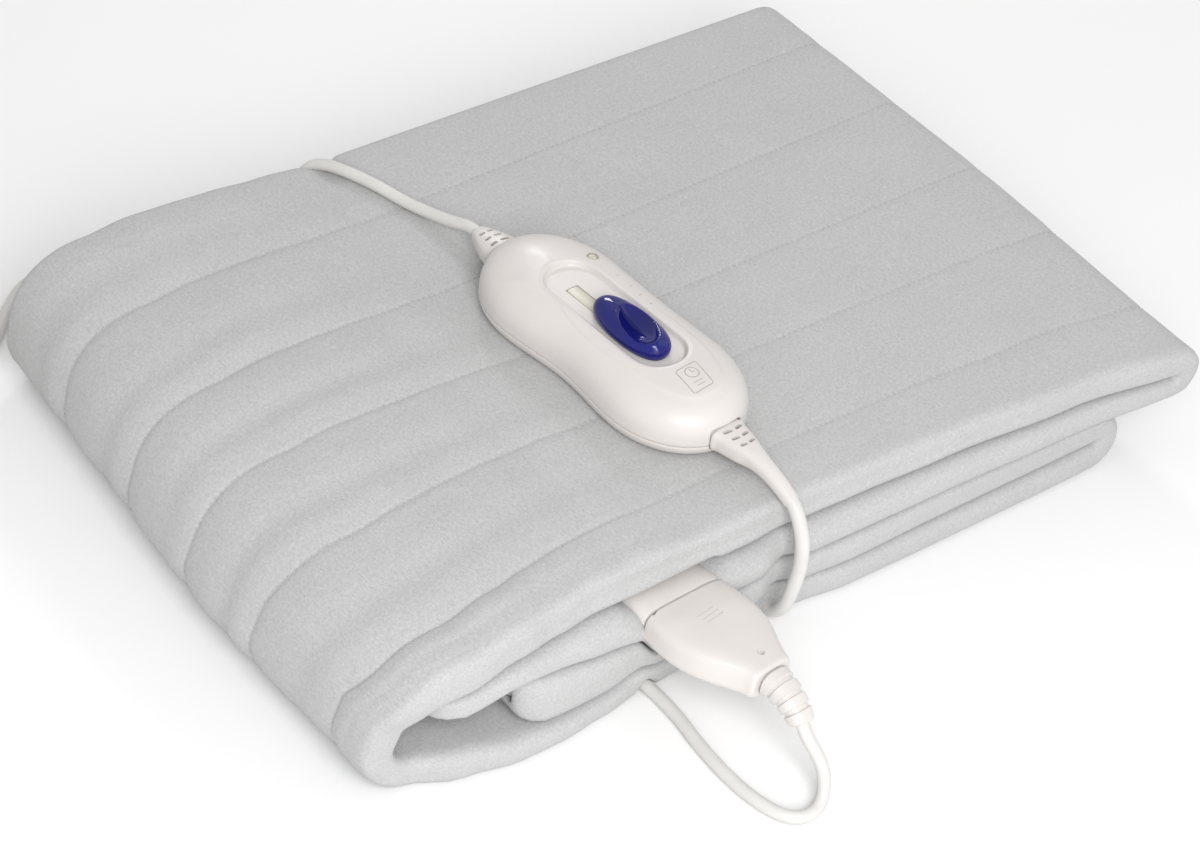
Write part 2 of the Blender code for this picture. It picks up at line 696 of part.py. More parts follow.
def shell_half_width(y, side):
    """The outline's half width at y: two round lobes and a slight waist."""
    if abs(y) >= LOBE_CENTRE:
        end = (abs(y) - LOBE_CENTRE) / (SHELL_HALF_LENGTH - LOBE_CENTRE)
        return SHELL_HALF_WIDTH * math.sqrt(max(0.0, 1 - end * end))
    waist = WAIST_RIGHT if side > 0 else WAIST_LEFT
    return SHELL_HALF_WIDTH - waist * bell(y, LOBE_CENTRE)


def shell_ring(height, inset):
    """The outline, drawn in by the inset, at a height."""
    ring = []
    for index in range(SHELL_POINTS):
        angle = 2 * math.pi * index / SHELL_POINTS
        y = SHELL_HALF_LENGTH * math.cos(angle)
        side = 1 if math.sin(angle) >= 0 else -1
        x = side * shell_half_width(y, side) * (1 - inset / SHELL_HALF_WIDTH)
        ring.append(Vector((x, y * (1 - inset / SHELL_HALF_LENGTH), height)))
    return ring


def stadium_ring(half_width, front, back, height, points=32):
    """A slot with round ends, along Y."""
    ring = []
    for index in range(points):
        angle = 2 * math.pi * (index + 0.5) / points
        middle = back - half_width if math.sin(angle) > 0 else front + half_width
        ring.append(Vector((half_width * math.cos(angle), middle + half_width * math.sin(angle), height)))
    return ring


def slider_ring(height, inset):
    """The egg outline of the slider, drawn in by the inset."""
    middle = (SLIDER_FRONT + SLIDER_BACK) / 2
    half_length = (SLIDER_BACK - SLIDER_FRONT) / 2
    ring = []
    for index in range(SLIDER_POINTS):
        angle = 2 * math.pi * index / SLIDER_POINTS
        along, across = math.cos(angle), math.sin(angle)
        x = SLIDER_HALF_WIDTH * (1 - 0.05 * along) * math.copysign(abs(across) ** 0.86, across)
        y = half_length * math.copysign(abs(along) ** 0.92, along)
        ring.append(
            Vector(
                (
                    SLIDER_X + x * (1 - inset / SLIDER_HALF_WIDTH),
                    middle + y * (1 - inset / half_length),
                    RECESS_FLOOR + height,
                )
            )
        )
    return ring


def make_controller(frame):
    """Both shells, the window strip, the indicator and the sliding selector."""
    base_rings = [shell_ring(z * MM, inset * MM) for z, inset in BASE_SECTIONS]
    base = add_object(
        "controller_base", round_off(loft_mesh("controller_base", base_rings)), "ivory_plastic", frame
    )
    cover_rings = [shell_ring(z * MM, inset * MM) for z, inset in COVER_SECTIONS]
    cover = add_object(
        "controller_cover", round_off(loft_mesh("controller_cover", cover_rings)), "ivory_plastic", frame
    )
    for sign, end in ((1, "back"), (-1, "front")):
        low = (-RELIEF_POCKET[0], sign * RELIEF_ROOT - GAP * sign, RELIEF_HEIGHT - RELIEF_POCKET[1])
        high = (RELIEF_POCKET[0], sign * 72 * MM, RELIEF_HEIGHT + RELIEF_POCKET[1])
        pocket = cutter_from(
            box_mesh(f"{end} pocket", *sorted_corners(low, high)), f"{end} pocket", frame
        )
        cut(base, pocket)
        cut(cover, pocket)
    flare = 1.6 * MM
    recess_rings = [
        stadium_ring(RECESS_HALF_WIDTH, RECESS_FRONT, RECESS_BACK, RECESS_FLOOR),
        stadium_ring(
            RECESS_HALF_WIDTH + flare, RECESS_FRONT - flare, RECESS_BACK + flare, RECESS_FLOOR + 4 * MM
        ),
    ]
    cut(cover, cutter_from(loft_mesh("recess", recess_rings), "recess", frame))
    window_cut = box_mesh(
        "window pocket",
        (WINDOW_X - WINDOW_HALF_WIDTH - GAP, WINDOW_FRONT - GAP, RECESS_FLOOR - WINDOW_DEPTH - GAP),
        (WINDOW_X + WINDOW_HALF_WIDTH + GAP, WINDOW_BACK + GAP, RECESS_FLOOR + 1 * MM),
    )
    cut(cover, cutter_from(window_cut, "window pocket", frame))
    window = box_mesh(
        "setting_window",
        (WINDOW_X - WINDOW_HALF_WIDTH, WINDOW_FRONT, RECESS_FLOOR - WINDOW_DEPTH),
        (WINDOW_X + WINDOW_HALF_WIDTH, WINDOW_BACK, RECESS_FLOOR - 0.1 * MM),
    )
    add_object("setting_window", window, "window_plastic", frame)
    hole = cutter_from(
        cylinder_mesh("indicator hole", INDICATOR_RADIUS + GAP, 16 * MM, 26 * MM), "indicator hole", frame
    )
    hole.location = (*INDICATOR_AT, 0)
    cut(cover, hole)
    lens_mesh = cylinder_mesh("indicator", INDICATOR_RADIUS, 16 * MM + GAP, INDICATOR_HEIGHT)
    lens = add_object("indicator", round_off(lens_mesh), "window_plastic", frame)
    lens.location = (*INDICATOR_AT, 0)

    slider_rings = [slider_ring(height * MM, inset * MM) for height, inset in SLIDER_SECTIONS]
    slider = add_object("slider", round_off(loft_mesh("slider", slider_rings)), "blue_plastic", frame)
    dish_shape = bmesh.new()
    bmesh.ops.create_uvsphere(dish_shape, u_segments=24, v_segments=12, radius=1.0)
    bmesh.ops.scale(dish_shape, vec=(7.6 * MM, 13 * MM, 6 * MM), verts=dish_shape.verts)
    dish = cutter_from(finish_mesh(dish_shape, "thumb dish"), "thumb dish", frame)
    dish.location = (SLIDER_X + 0.4 * MM, -15.0 * MM, RECESS_FLOOR + 10.6 * MM)
    cut(slider, dish)


def sorted_corners(first, second):
    """The low and the high corner of the box between two points."""
    low = tuple(min(a, b) for a, b in zip(first, second))
    high = tuple(max(a, b) for a, b in zip(first, second))
    return low, high


def make_relief(frame, name, sections, sign, drop):
    """A strain relief at one end of the controller, with its rows of slots."""
    rings = []
    for distance, half_width, half_height in sections:
        past = max(0.0, distance * MM - RELIEF_BEND_FROM)
        along = sign * (SHELL_HALF_LENGTH + distance * MM)
        middle = Vector((0, along, RELIEF_HEIGHT - drop * past * past))
        up = Vector((0, sign * 2 * drop * past, 1)).normalized()
        power = 3.4 if distance < 16 else 2.4
        ring = superellipse(half_width * MM, half_height * MM, 20, power)
        rings.append([middle + Vector((x, 0, 0)) + up * z for x, z in ring])
    relief = add_object(name, round_off(loft_mesh(name, rings)), "ivory_plastic", frame)
    for number, row in enumerate(SLOT_ROWS):
        for side in (-1, 1):
            along = sign * (SHELL_HALF_LENGTH + row)
            middle = Vector((side * (2.9 - 0.35 * number) * MM, along, RELIEF_HEIGHT))
            half = Vector((SLOT_SIZE[0] / 2 * (1 - 0.1 * number), SLOT_SIZE[1] / 2, 0))
            low = middle - half + Vector((0, 0, 2.2 * MM))
            high = middle + half + Vector((0, 0, 8 * MM))
            slot_name = f"{name} slot {number} {side}"
            cut(relief, cutter_from(box_mesh(slot_name, low, high), slot_name, frame))
    past = sections[-1][0] * MM - RELIEF_BEND_FROM
    slope = 2 * drop * past
    along = sign * (SHELL_HALF_LENGTH + sections[-1][0] * MM)
    tip = Vector((0, along, RELIEF_HEIGHT - drop * past * past))
    heading = Vector((0, sign, -slope)).normalized()
    world = frame.matrix_world
    return world @ tip, world.to_3x3() @ heading


# ---------------------------------------------------------------- leads, coil and plug


def smooth_route(points, steps=ROUTE_STEPS):
    """A smooth curve through the route's points (a centripetal Catmull-Rom spline)."""
    ends = [2 * points[0] - points[1], *points, 2 * points[-1] - points[-2]]
    curve = []
    for index in range(1, len(ends) - 2):
        p0, p1, p2, p3 = ends[index - 1 : index + 3]
        t0 = 0.0
        t1 = t0 + math.sqrt((p1 - p0).length)
        t2 = t1 + math.sqrt((p2 - p1).length)
        t3 = t2 + math.sqrt((p3 - p2).length)
        for step in range(steps):
            t = t1 + (t2 - t1) * step / steps
            a1 = (p0 * (t1 - t) + p1 * (t - t0)) / (t1 - t0)
            a2 = (p1 * (t2 - t) + p2 * (t - t1)) / (t2 - t1)
            a3 = (p2 * (t3 - t) + p3 * (t - t2)) / (t3 - t2)
            b1 = (a1 * (t2 - t) + a2 * (t - t0)) / (t2 - t0)
            b2 = (a2 * (t3 - t) + a3 * (t - t1)) / (t3 - t1)
            curve.append((b1 * (t2 - t) + b2 * (t - t1)) / (t2 - t1))
    curve.append(points[-1].copy())
    return curve


def thin_out(curve, longest, sharpest):
    """Keep a point wherever the curve has run or turned enough since the last."""
    kept = [curve[0]]
    run = turn = 0.0
    for before, here, after in zip(curve, curve[1:], curve[2:]):
        run += (here - before).length
        turn += (here - before).angle(after - here)
        if run >= longest or (turn >= sharpest and run >= longest / 5):
            kept.append(here)
            run = turn = 0.0
    if (curve[-1] - kept[-1]).length < longest / 5:
        kept.pop()
    kept.append(curve[-1])
    return kept


def make_lead(name, points, diameter):
    """A lead's tube along a smooth route."""
    route = smooth_route(points)
    middle = thin_out(route[ROUTE_STEPS:-ROUTE_STEPS], 3 * diameter, math.radians(18))
    centre = [route[0], *middle, route[-1]]
    curve = bpy.data.curves.new(name, "CURVE")
    curve.dimensions = "3D"
    curve.bevel_depth = diameter / 2
    curve.bevel_resolution = 2
    curve.use_fill_caps = True
    spline = curve.splines.new("POLY")
    spline.points.add(len(centre) - 1)
    for target, point in zip(spline.points, centre):
        target.co = (*point, 1.0)
    return add_object(name, curve, "lead_pvc")


def make_coil():
    """The outer shape of the coiled length, as a turned ring on the floor."""
    half = COIL_TURNS_ACROSS * MAINS_LEAD / 2
    top = COIL_LAYERS * MAINS_LEAD
    edge = 2.2 * MM
    inner, outer = COIL_RADIUS - half, COIL_RADIUS + half
    profile = (
        (outer - edge, top), (outer, top - edge), (outer, edge), (outer - edge, 0.0),
        (inner + edge, 0.0), (inner, edge), (inner, top - edge), (inner + edge, top),
    )
    shape = bmesh.new()
    corners = [shape.verts.new((radius, 0.0, height)) for radius, height in profile]
    for here, there in zip(corners, corners[1:] + corners[:1]):
        shape.edges.new((here, there))
    mesh = bpy.data.meshes.new("mains_coil")
    shape.to_mesh(mesh)
    shape.free()
    coil = add_object("mains_coil", mesh, "lead_pvc")
    coil.location = COIL_CENTRE
    screw = coil.modifiers.new("turned ring", "SCREW")
    screw.angle = 2 * math.pi
    screw.steps = 48
    screw.render_steps = 48
    screw.use_merge_vertices = True
    screw.merge_threshold = 0.0001
    return coil


def make_mains_plug():
    """The flat two-pin plug, which leaves the coil's left side towards the back."""
    frame = bpy.data.objects.new("mains_plug_axis", None)
    PARTS.objects.link(frame)
    outer_turn = COIL_RADIUS + MAINS_LEAD
    ring_radius = COIL_RADIUS + COIL_TURNS_ACROSS * MAINS_LEAD / 2
    nearest = outer_turn - PLUG_RELIEF[0][1] * MM
    start_y = COIL_CENTRE.y + math.sqrt(ring_radius**2 - nearest**2) + GAP
    frame.location = (COIL_CENTRE.x - outer_turn, start_y, PLUG_HEIGHT)
    frame.rotation_euler = (0, 0, math.pi)
    bpy.context.view_layer.update()
    sections = PLUG_RELIEF + MAINS_PLUG
    rings = []
    for distance, half_width, half_height in sections:
        rise = (COIL_EXIT_HEIGHT - PLUG_HEIGHT) * (1 - smoothstep(distance / 30))
        ring = superellipse(half_width * MM, half_height * MM, 24, 2.4 if distance < 36 else 3.4)
        rings.append([Vector((x, -distance * MM, max(z + rise, -PLUG_HEIGHT))) for x, z in ring])
    plug = add_object("mains_plug", round_off(loft_mesh("mains_plug", rings)), "ivory_plastic", frame)
    face = -MAINS_PLUG[-1][0] * MM
    for number, side in enumerate((-1, 1), start=1):
        hole_mesh = cylinder_mesh("pin hole", PIN_RADIUS + GAP, -PIN_SEAT - GAP, 2 * MM, 20)
        hole = cutter_from(hole_mesh, f"pin hole {number}", frame)
        hole.rotation_euler = (math.radians(90), 0, 0)
        hole.location = (side * PIN_SPACING / 2, face, 0)
        cut(plug, hole)
        pin_mesh = cylinder_mesh(f"mains_pin_{number}", PIN_RADIUS, -PIN_SEAT, PIN_LENGTH, 20)
        pin = add_object(f"mains_pin_{number}", round_off(pin_mesh), "pin_metal", frame)
        pin.rotation_euler = (math.radians(90), 0, 0)
        pin.location = (side * PIN_SPACING / 2, face, 0)


def main():
    """Build every piece."""
    make_pad()
    coupler = coupler_frame()
    controller = controller_frame()
    bpy.context.view_layer.update()
    thin_start, thin_heading = make_coupler(coupler)
    make_controller(controller)
    back_tip, back_heading = make_relief(controller, "relief_back", BACK_RELIEF, 1, 0.0)
    front_tip, front_heading = make_relief(controller, "relief_front", FRONT_RELIEF, -1, RELIEF_DROP)
    thin_points = [
        thin_start + thin_heading * GAP,
        thin_start + thin_heading * 4 * MM,
        *(Vector(point) for point in THIN_ROUTE),
        back_tip + back_heading * 5 * MM,
        back_tip + back_heading * GAP,
    ]
    make_lead("controller_lead", thin_points, THIN_LEAD)
    mains_points = [
        front_tip + front_heading * GAP,
        front_tip + front_heading * 5 * MM,
        *(Vector(point) for point in MAINS_ROUTE),
    ]
    make_lead("mains_lead", mains_points, MAINS_LEAD)
    make_coil()
    make_mains_plug()


clear_scene()
PARTS = collection("heated_mattress_pad")
CUTTERS = collection("cutters")
main()
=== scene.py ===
"""Looks of the heated mattress pad: quilted fleece, coupler, controller and leads.

Metres, +Z up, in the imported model's frame. The fleece is folded here on a finer grid
than the model's, and then gets its sewn channels.
"""

import math

import bmesh
import bpy
import numpy as np
from mathutils import Matrix, Vector


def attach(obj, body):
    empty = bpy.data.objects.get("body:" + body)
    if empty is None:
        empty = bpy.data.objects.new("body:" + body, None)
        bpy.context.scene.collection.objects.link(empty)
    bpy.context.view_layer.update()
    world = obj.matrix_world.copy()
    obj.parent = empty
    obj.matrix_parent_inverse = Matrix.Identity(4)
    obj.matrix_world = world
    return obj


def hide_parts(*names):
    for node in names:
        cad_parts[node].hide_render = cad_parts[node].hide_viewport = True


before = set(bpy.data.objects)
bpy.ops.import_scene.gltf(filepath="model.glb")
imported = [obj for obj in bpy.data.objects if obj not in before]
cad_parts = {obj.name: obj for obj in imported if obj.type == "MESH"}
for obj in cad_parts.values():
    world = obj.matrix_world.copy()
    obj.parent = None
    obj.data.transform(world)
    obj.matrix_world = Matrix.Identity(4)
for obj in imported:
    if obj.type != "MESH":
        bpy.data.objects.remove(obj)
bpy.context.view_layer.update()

MM = 0.001
GAP = 0.3 * MM
SEED = 7

# Dimensions. Of the names that the model's source has too, these have other values here:
# GROOVE_REACH, GROOVE_CLEARANCE, BACK_NOTCH, FRONT_RELIEF, RELIEF_DROP, SHELL_POINTS,
# SLOT_SIZE and the first points of MAINS_ROUTE.
FLAT_WIDTH = 0.80
PLY = 3.9 * MM
PLY_PITCH = 4.45 * MM
STRIP_HALF = PLY_PITCH + PLY / 2
LAYER_PITCH = 14.5 * MM
BOTTOM_Z = STRIP_HALF
TOP_Z = BOTTOM_Z + 3 * LAYER_PITCH
STACK_HEIGHT = TOP_Z + STRIP_HALF
FRONT_Y = -0.1308
FRONT_FOLD_Y = FRONT_Y + STRIP_HALF
EDGE_STEP_BACK = 1.0 * MM
UPPER_TIP_X = -0.1695
LOWER_TIP_X = -0.1350
UPPER_FOLD_X = 0.1800
LOWER_FOLD_X = 0.1520
SHOULDER_X = -0.1665
SHOULDER_RADIUS = 21 * MM
SHOULDER_TURN = 80
HEEL_RADIUS = 15 * MM
NOSE_REACH = 8 * MM
NOSE_SHARE = 0.42
CORNER_REACH = 12 * MM
CORNER_PULL = 6 * MM
THIN_LEAD = 5.0 * MM
MAINS_LEAD = 5.6 * MM
THIN_GROOVE_X = -0.0770
MAINS_GROOVE_X = -0.0112
GROOVE_REACH = 6.5 * MM
GROOVE_CLEARANCE = 0.2 * MM
GROOVE_FADE = 14 * MM
BACK_NOTCH_X = -0.0470
BACK_NOTCH_REACH = 10.5 * MM
BACK_NOTCH = 2.4 * MM
BACK_NOTCH_FROM_Y = 0.116
LEAD_PRESS = 2.2 * MM  # how far the front's layers are pushed in behind the mains lead
LEAD_PRESS_REACH = 13 * MM
LEAD_PRESS_TOP = 0.046
ARCH_FROM_Y = -0.121
ARCH_RUN = 0.012
ARCH_FLARE = 0.8 * MM
DENT_FROM_Y = -0.069
SHOULDER_DENT = 2.4 * MM
SHOULDER_REACH = 7 * MM
SOCKET_DENTS = (  # of four levels: pressed to, beginning beside the socket, run; in mm
    (11.5, -1.0, 10.0), (18.4, -1.0, 10.0), (25.5, 0.2, 8.0), (45.5, 3.0, 3.0),
)
SEAM = Vector((-0.0638, -0.1296, 0.0350))
COUPLER_YAW = 7.2
COUPLER_ROLL = 6.0
SOCKET_LENGTH = 24 * MM
SOCKET_HALF = (19.8 * MM, 7.0 * MM)
PLUG_BODY = (
    (0.5, 19.2, 6.4), (1.3, 20.0, 7.0), (9.0, 21.0, 7.2), (17.0, 20.9, 7.3), (25.0, 19.0, 7.3),
    (31.5, 16.0, 7.1), (37.0, 12.8, 6.9), (41.5, 10.6, 6.6), (44.6, 9.7, 6.2), (45.6, 8.8, 5.4),
)
COUPLER_RELIEF = (
    (0.0, 6.2, 4.9), (0.8, 6.9, 5.5), (3.4, 6.7, 5.3), (3.8, 5.6, 4.5), (5.0, 5.6, 4.5),
    (5.4, 6.4, 5.1), (8.2, 6.2, 5.0), (8.6, 5.1, 4.2), (9.8, 5.1, 4.2), (10.2, 5.9, 4.8),
    (13.0, 5.6, 4.6), (13.4, 4.6, 3.9), (14.6, 4.6, 3.9), (15.0, 5.3, 4.5), (18.2, 4.9, 4.2),
    (19.0, 4.0, 3.5),
)
COUPLER_RELIEF_BEND = 50
DIMPLE = ((5.0, 0.6), (5.3, 1.1), (6.0, 1.35), (7.3, 1.5), (9.0, 1.7))  # height, radius; in mm
CONTROLLER_AT = Vector((-0.0189, -0.0234, STACK_HEIGHT + GAP))
CONTROLLER_YAW = 4.1
SHELL_HALF_LENGTH = 65.8 * MM
SHELL_HALF_WIDTH = 28 * MM
LOBE_CENTRE = 32.5 * MM
SHELL_POINTS = 160
WAIST_LEFT = 2.6 * MM
WAIST_RIGHT = 0.8 * MM
COVER_SECTIONS = (
    (5.8, 0.0), (8.5, 0.1), (11.5, 0.5), (14.5, 1.6), (17.2, 3.6), (19.4, 6.6),
    (20.9, 10.4), (21.9, 15.0), (22.5, 20.0), (22.8, 24.5),
)
RECESS_FLOOR = 20.0 * MM
RECESS_HALF_WIDTH = 10.8 * MM
RECESS_BACK = 35 * MM
RECESS_FRONT = -34.6 * MM
SLIDER_X = -1.1 * MM
SLIDER_FRONT = -30.0 * MM
SLIDER_BACK = 8.6 * MM
SLIDER_HALF_WIDTH = 8.8 * MM
SLIDER_SECTIONS = (
    (0.3, 0.6), (1.6, 0.1), (3.4, 0.0), (5.0, 0.5), (6.2, 1.6), (7.0, 3.2), (7.4, 5.4),
)
DISH_AT = (-1.6 * MM, -14.6 * MM)
DISH_TILT = math.radians(14)
DISH_HALF = (6.2 * MM, 11.4 * MM)
DISH_DEPTH = 4.0 * MM
WINDOW_X = -2.0 * MM
WINDOW_BACK = 22.8 * MM
WINDOW_FRONT = -2.0 * MM
WINDOW_HALF_WIDTH = 2.75 * MM
WINDOW_DEPTH = 1.2 * MM
INDICATOR_AT = (16.2 * MM, 32.0 * MM)
INDICATOR_RADIUS = 2.0 * MM
LENS_GAP_SHADE = ((2.02, 20.2), (2.02, 21.0), (2.2, 21.12), (2.7, 20.95), (2.8, 20.2))  # painted shade in the gap round the lens, a dark ring: radius, height; in mm
SIGN_CORNERS = ((-4.8, -39.4), (5.8, -39.0), (3.8, -51.7), (-6.2, -52.2))
CLOCK_AT = (0.3, -43.2)
CLOCK_RADIUS = 2.7
SIGN_LINES = (  # the clock's hands and the lines below it
    (CLOCK_AT, (0.3, -41.4)), (CLOCK_AT, (1.7, -43.2)), ((-2.9, -48.0), (1.7, -47.8)),
    ((-2.6, -49.7), (1.2, -49.6)),
)
SCALE_MARKS = ((17.1, 17.9, 1.6), (16.8, 9.9, 1.3), (16.2, 3.6, 1.3), (16.1, -2.6, 1.3))  # x, y, length
RELIEF_HEIGHT = 8.0 * MM
RELIEF_POCKET = (7.8 * MM, 4.9 * MM)
FRONT_RELIEF = (
    (-7.5, 7.4, 4.6), (-0.9, 7.4, 4.6), (-0.8, 8.05, 4.9), (0.0, 8.0, 5.1), (1.4, 7.3, 4.95),
    (5.0, 6.6, 4.7), (10.0, 5.6, 4.4), (14.0, 4.5, 4.0), (19.0, 3.8, 3.6), (27.0, 3.3, 3.2),
    (36.0, 2.95, 2.95),
)
BACK_RELIEF = (
    (-7.5, 7.5, 4.6), (-0.9, 7.5, 4.6), (-0.8, 8.0, 4.6), (0.0, 8.4, 4.8), (3.0, 7.9, 4.7),
    (8.0, 6.3, 4.2), (12.0, 4.7, 3.7), (15.0, 3.4, 3.1),
)
RELIEF_BEND_FROM = 12 * MM
RELIEF_DROP = 11.0
SLOT_ROWS = (2.5 * MM, 6.5 * MM, 10.5 * MM)
SLOT_SIZE = (3.1 * MM, 1.45 * MM)
COIL_CENTRE = Vector((-0.2481, 0.1546, 0.0))
COIL_RADIUS = 33.5 * MM
COIL_LOW = 3.0 * MM
COIL_ENTRY = -46.9
COIL_TURNS = 5 + 133.1 / 360
PLUG_STUB = 26 * MM
LEAD_STEP = 2 * MM
FRONT_EDGE = np.array(
    [  # x, out of the four layers, up of the three lines between them, up of the top
        (-0.202, -9, -9, -8, -5, 0, 0, 0, 1),
        (-0.178, -6, -6, -5, 0, 0, -3, -6, 1.5),
        (-0.158, 2, 0, 0, 1, 0, -1, -5, 3.5),
        (-0.136, 6, 3, 2, -1, -3.5, 4, -2, 6),
        (-0.118, 6, 3, 1, -4, -5, 2, -1.5, 5.5),
        (-0.100, 4, 3, 2, -7, -5, 0, 0, 4.5),
        (-0.077, 1, 1, 3, -9, -2, -1.5, 0, 2.5),
        (-0.048, -1, -1, 0, -9, 0, 0, 0, 0),
        (-0.030, -1, -1, 0, -9, 0, 0, 0, 0),
        (-0.012, -7, -4, -3, -9, 0, 0, 0, 0),
        (0.002, -4, -2, -1, -9, 0, 0, 0, 0),
        (0.022, -1.5, -1, -1, -8, 0, 0, 0, 0),
        (0.067, -1, -2, 0, -6, 0, 0, 0, 0),
        (0.128, -1, -2, 2, -1, 0, 0, 0, 0),
        (0.190, -2, -2, 7, 8, 0, 0, 0, 0),
    ]
)
LAYER_STOPS = (-0.125, -0.096, -0.034, -0.024, 0.006, 0.060)
LAYER_PITCHES = (5.5, 6.5, 2.2, 5.0, 2.4, 8.0, 12.0)  # of the rows between those stops; in mm
EDGE_ROUND = (0.0, 0.12 * MM, 0.45 * MM, 1.0 * MM, 1.9 * MM)
EDGE_NEXT = 1.2 * MM
FOLD_STEP = 1.9 * MM
TOP_STEP = 3.2 * MM
SIDE_STEP = 2.9 * MM
SEAMS_RIGHT = np.array((-98.0, -46.9, -0.6, 52.6, 104.4)) * MM
SEAMS_LEFT = np.array((-109.4, -55.8, -7.6, 37.6, 90.4)) * MM
FRONT_FILL = 3.6  # 2 is a round roll, more is a fuller one
STITCH_PITCH = 2.8 * MM
STITCH_SHARE = 0.78  # of the pitch that the thread covers
STITCH_RADIUS = 0.24 * MM
STITCH_RINGS = ((-0.6, 0.45), (0.35, 0.95), (0.75, 1.0), (0.35, 0.95), (-0.6, 0.45))  # lift, width
SEAM_MARKS = np.array((0.0, 0.5, 1.2, 2.2, 3.6, 5.4, 8.0)) * MM
CHANNEL_RISE = (0.24, 1.15)  # on the flat top, and more on the left side
CHANNEL_ENDS = (4.5, 5.5)  # how fast a channel climbs from its seams
LOBES = ((0.62, 0.80, 0.17), (-0.55, 0.58, 0.16), (0.25, 0.33, 0.20))  # height, place, reach
EDGE_FADE_OUT = 0.15
EDGE_FADE_UP = 0.07
BACK_CORNER_PULL = 4 * MM
SIDE_BULGE = 4 * MM
RIGHT_SWELL = 6 * MM
THIN_ROUTE = (
    (-0.0546, -0.2035, 0.0135), (-0.0565, -0.2080, 0.0062), (-0.0605, -0.2105, 0.0032),
    (-0.0665, -0.2115, 0.0027), (-0.0720, -0.2085, 0.0027), (-0.0755, -0.2020, 0.0027),
    (-0.0778, -0.1920, 0.0027), (-0.0786, -0.1790, 0.0027), (-0.0778, -0.1640, 0.0027),
    (-0.0762, -0.1500, 0.0027), (-0.0760, -0.1380, 0.0027), (-0.0770, -0.1240, 0.0027),
    (-0.0770, -0.0900, 0.0027), (-0.0770, 0.0000, 0.0027), (-0.0770, 0.0900, 0.0027),
    (-0.0770, 0.1270, 0.0027), (-0.0760, 0.1400, 0.0036), (-0.0730, 0.1480, 0.0095),
    (-0.0685, 0.1480, 0.0200), (-0.0600, 0.1462, 0.0350), (-0.0528, 0.1440, 0.0460),
    (-0.0490, 0.1402, 0.0532), (-0.0462, 0.1335, 0.0569), (-0.0434, 0.1250, 0.0586),
    (-0.0385, 0.1110, 0.0592), (-0.0330, 0.0920, 0.0592), (-0.0282, 0.0740, 0.0618),
)
MAINS_ROUTE = (
    (-0.0116, -0.1278, 0.0562), (-0.0117, -0.1312, 0.0515), (-0.0118, -0.1340, 0.0448),
    (-0.0121, -0.1352, 0.0360), (-0.0128, -0.1345, 0.0240), (-0.0134, -0.1322, 0.0130),
    (-0.0134, -0.1282, 0.0065), (-0.0130, -0.1230, 0.0038), (-0.0122, -0.1166, 0.0030),
    (-0.0112, -0.1000, 0.0030),
    (-0.0112, 0.0000, 0.0030), (-0.0112, 0.1240, 0.0030), (-0.0124, 0.1420, 0.0030),
    (-0.0232, 0.1590, 0.0030), (-0.0460, 0.1700, 0.0030), (-0.0780, 0.1760, 0.0030),
    (-0.1120, 0.1840, 0.0030), (-0.1360, 0.1880, 0.0030), (-0.1560, 0.1860, 0.0030),
    (-0.1700, 0.1760, 0.0030), (-0.1840, 0.1620, 0.0030), (-0.1980, 0.1480, 0.0030),
    (-0.2059, 0.1406, 0.0030),
)
CAMERA_AT = (-0.61238, -0.69787, 0.80189)
CAMERA_AXES = (  # right, up, forward
    (0.79798, -0.59571, 0.09142), (0.33799, 0.56793, 0.75048), (0.49899, 0.56796, -0.65454),
)
LENS = 91.32
DAYLIGHT = 0.66
LIGHTS = (  # name, place, watts, size
    ("key", (-0.46, -0.88, 0.80), 9.6, 0.6), ("low", (-0.46, -0.98, 0.28), 1.1, 0.5),
    ("fill", (1.6, -0.6, 1.4), 3, 1.6), ("spark", (0.53, 0.82, 0.70), 1.6, 0.15),
)


# --- helpers ---


def smoothstep(value):
    """Ease from 0 to 1."""
    value = np.clip(value, 0.0, 1.0)
    return value * value * (3 - 2 * value)


def bell(distance, reach):
    """1 at no distance, 0 from the reach on."""
    share = np.clip(np.abs(distance) / reach, 0.0, 1.0)
    return 0.5 + 0.5 * np.cos(np.pi * share)


def add_object(name, data):
    """Put an object in the scene."""
    new = bpy.data.objects.new(name, data)
    bpy.context.scene.collection.objects.link(new)
    return new


def add_mesh(name, vertices, faces, finish, body, slot):
    """A smooth-shaded mesh piece that rides on a body."""
    mesh = bpy.data.meshes.new(name)
    mesh.from_pydata([tuple(v) for v in vertices], [], [tuple(f) for f in faces])
    mesh.validate()
    return add_piece(name, mesh, finish, body)


def add_piece(name, data, finish, body):
    """Put a mesh or curve in the scene with its finish and body."""
    piece = add_object(name, data)
    data.materials.append(finish)
    if hasattr(data, "shade_smooth"):
        data.shade_smooth()
    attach(piece, body)
    return piece


def sharpen(piece, degrees):
    """Mark the edges that stay sharp."""
    piece.data.set_sharp_from_angle(angle=math.radians(degrees))


def ring_faces(rings, count, closed=True):
    """Quads between rings of as many points, with the end rings filled if closed."""
    faces = []
    for row in range(0, (rings - 1) * count, count):
        for here in range(count):
            there = (here + 1) % count
            faces.append((row + here, row + there, row + count + there, row + count + here))
    if closed:
        faces.append(tuple(range(count - 1, -1, -1)))
        faces.append(tuple(range((rings - 1) * count, rings * count)))
    return faces


def face_out(piece):
    """Turn a closed mesh's faces outwards."""
    shape = bmesh.new()
    shape.from_mesh(piece.data)
    bmesh.ops.recalc_face_normals(shape, faces=shape.faces)
    shape.to_mesh(piece.data)
    shape.free()


def loft(name, rings, world, finish, sharp, slot="ivory_plastic", body="pad"):
    """A closed skin over a row of rings, placed by a matrix."""
    vertices = np.concatenate([place(ring, world) for ring in rings])
    piece = add_mesh(name, vertices, ring_faces(len(rings), len(rings[0])), finish, body, slot)
    face_out(piece)
    sharpen(piece, sharp)
    return piece


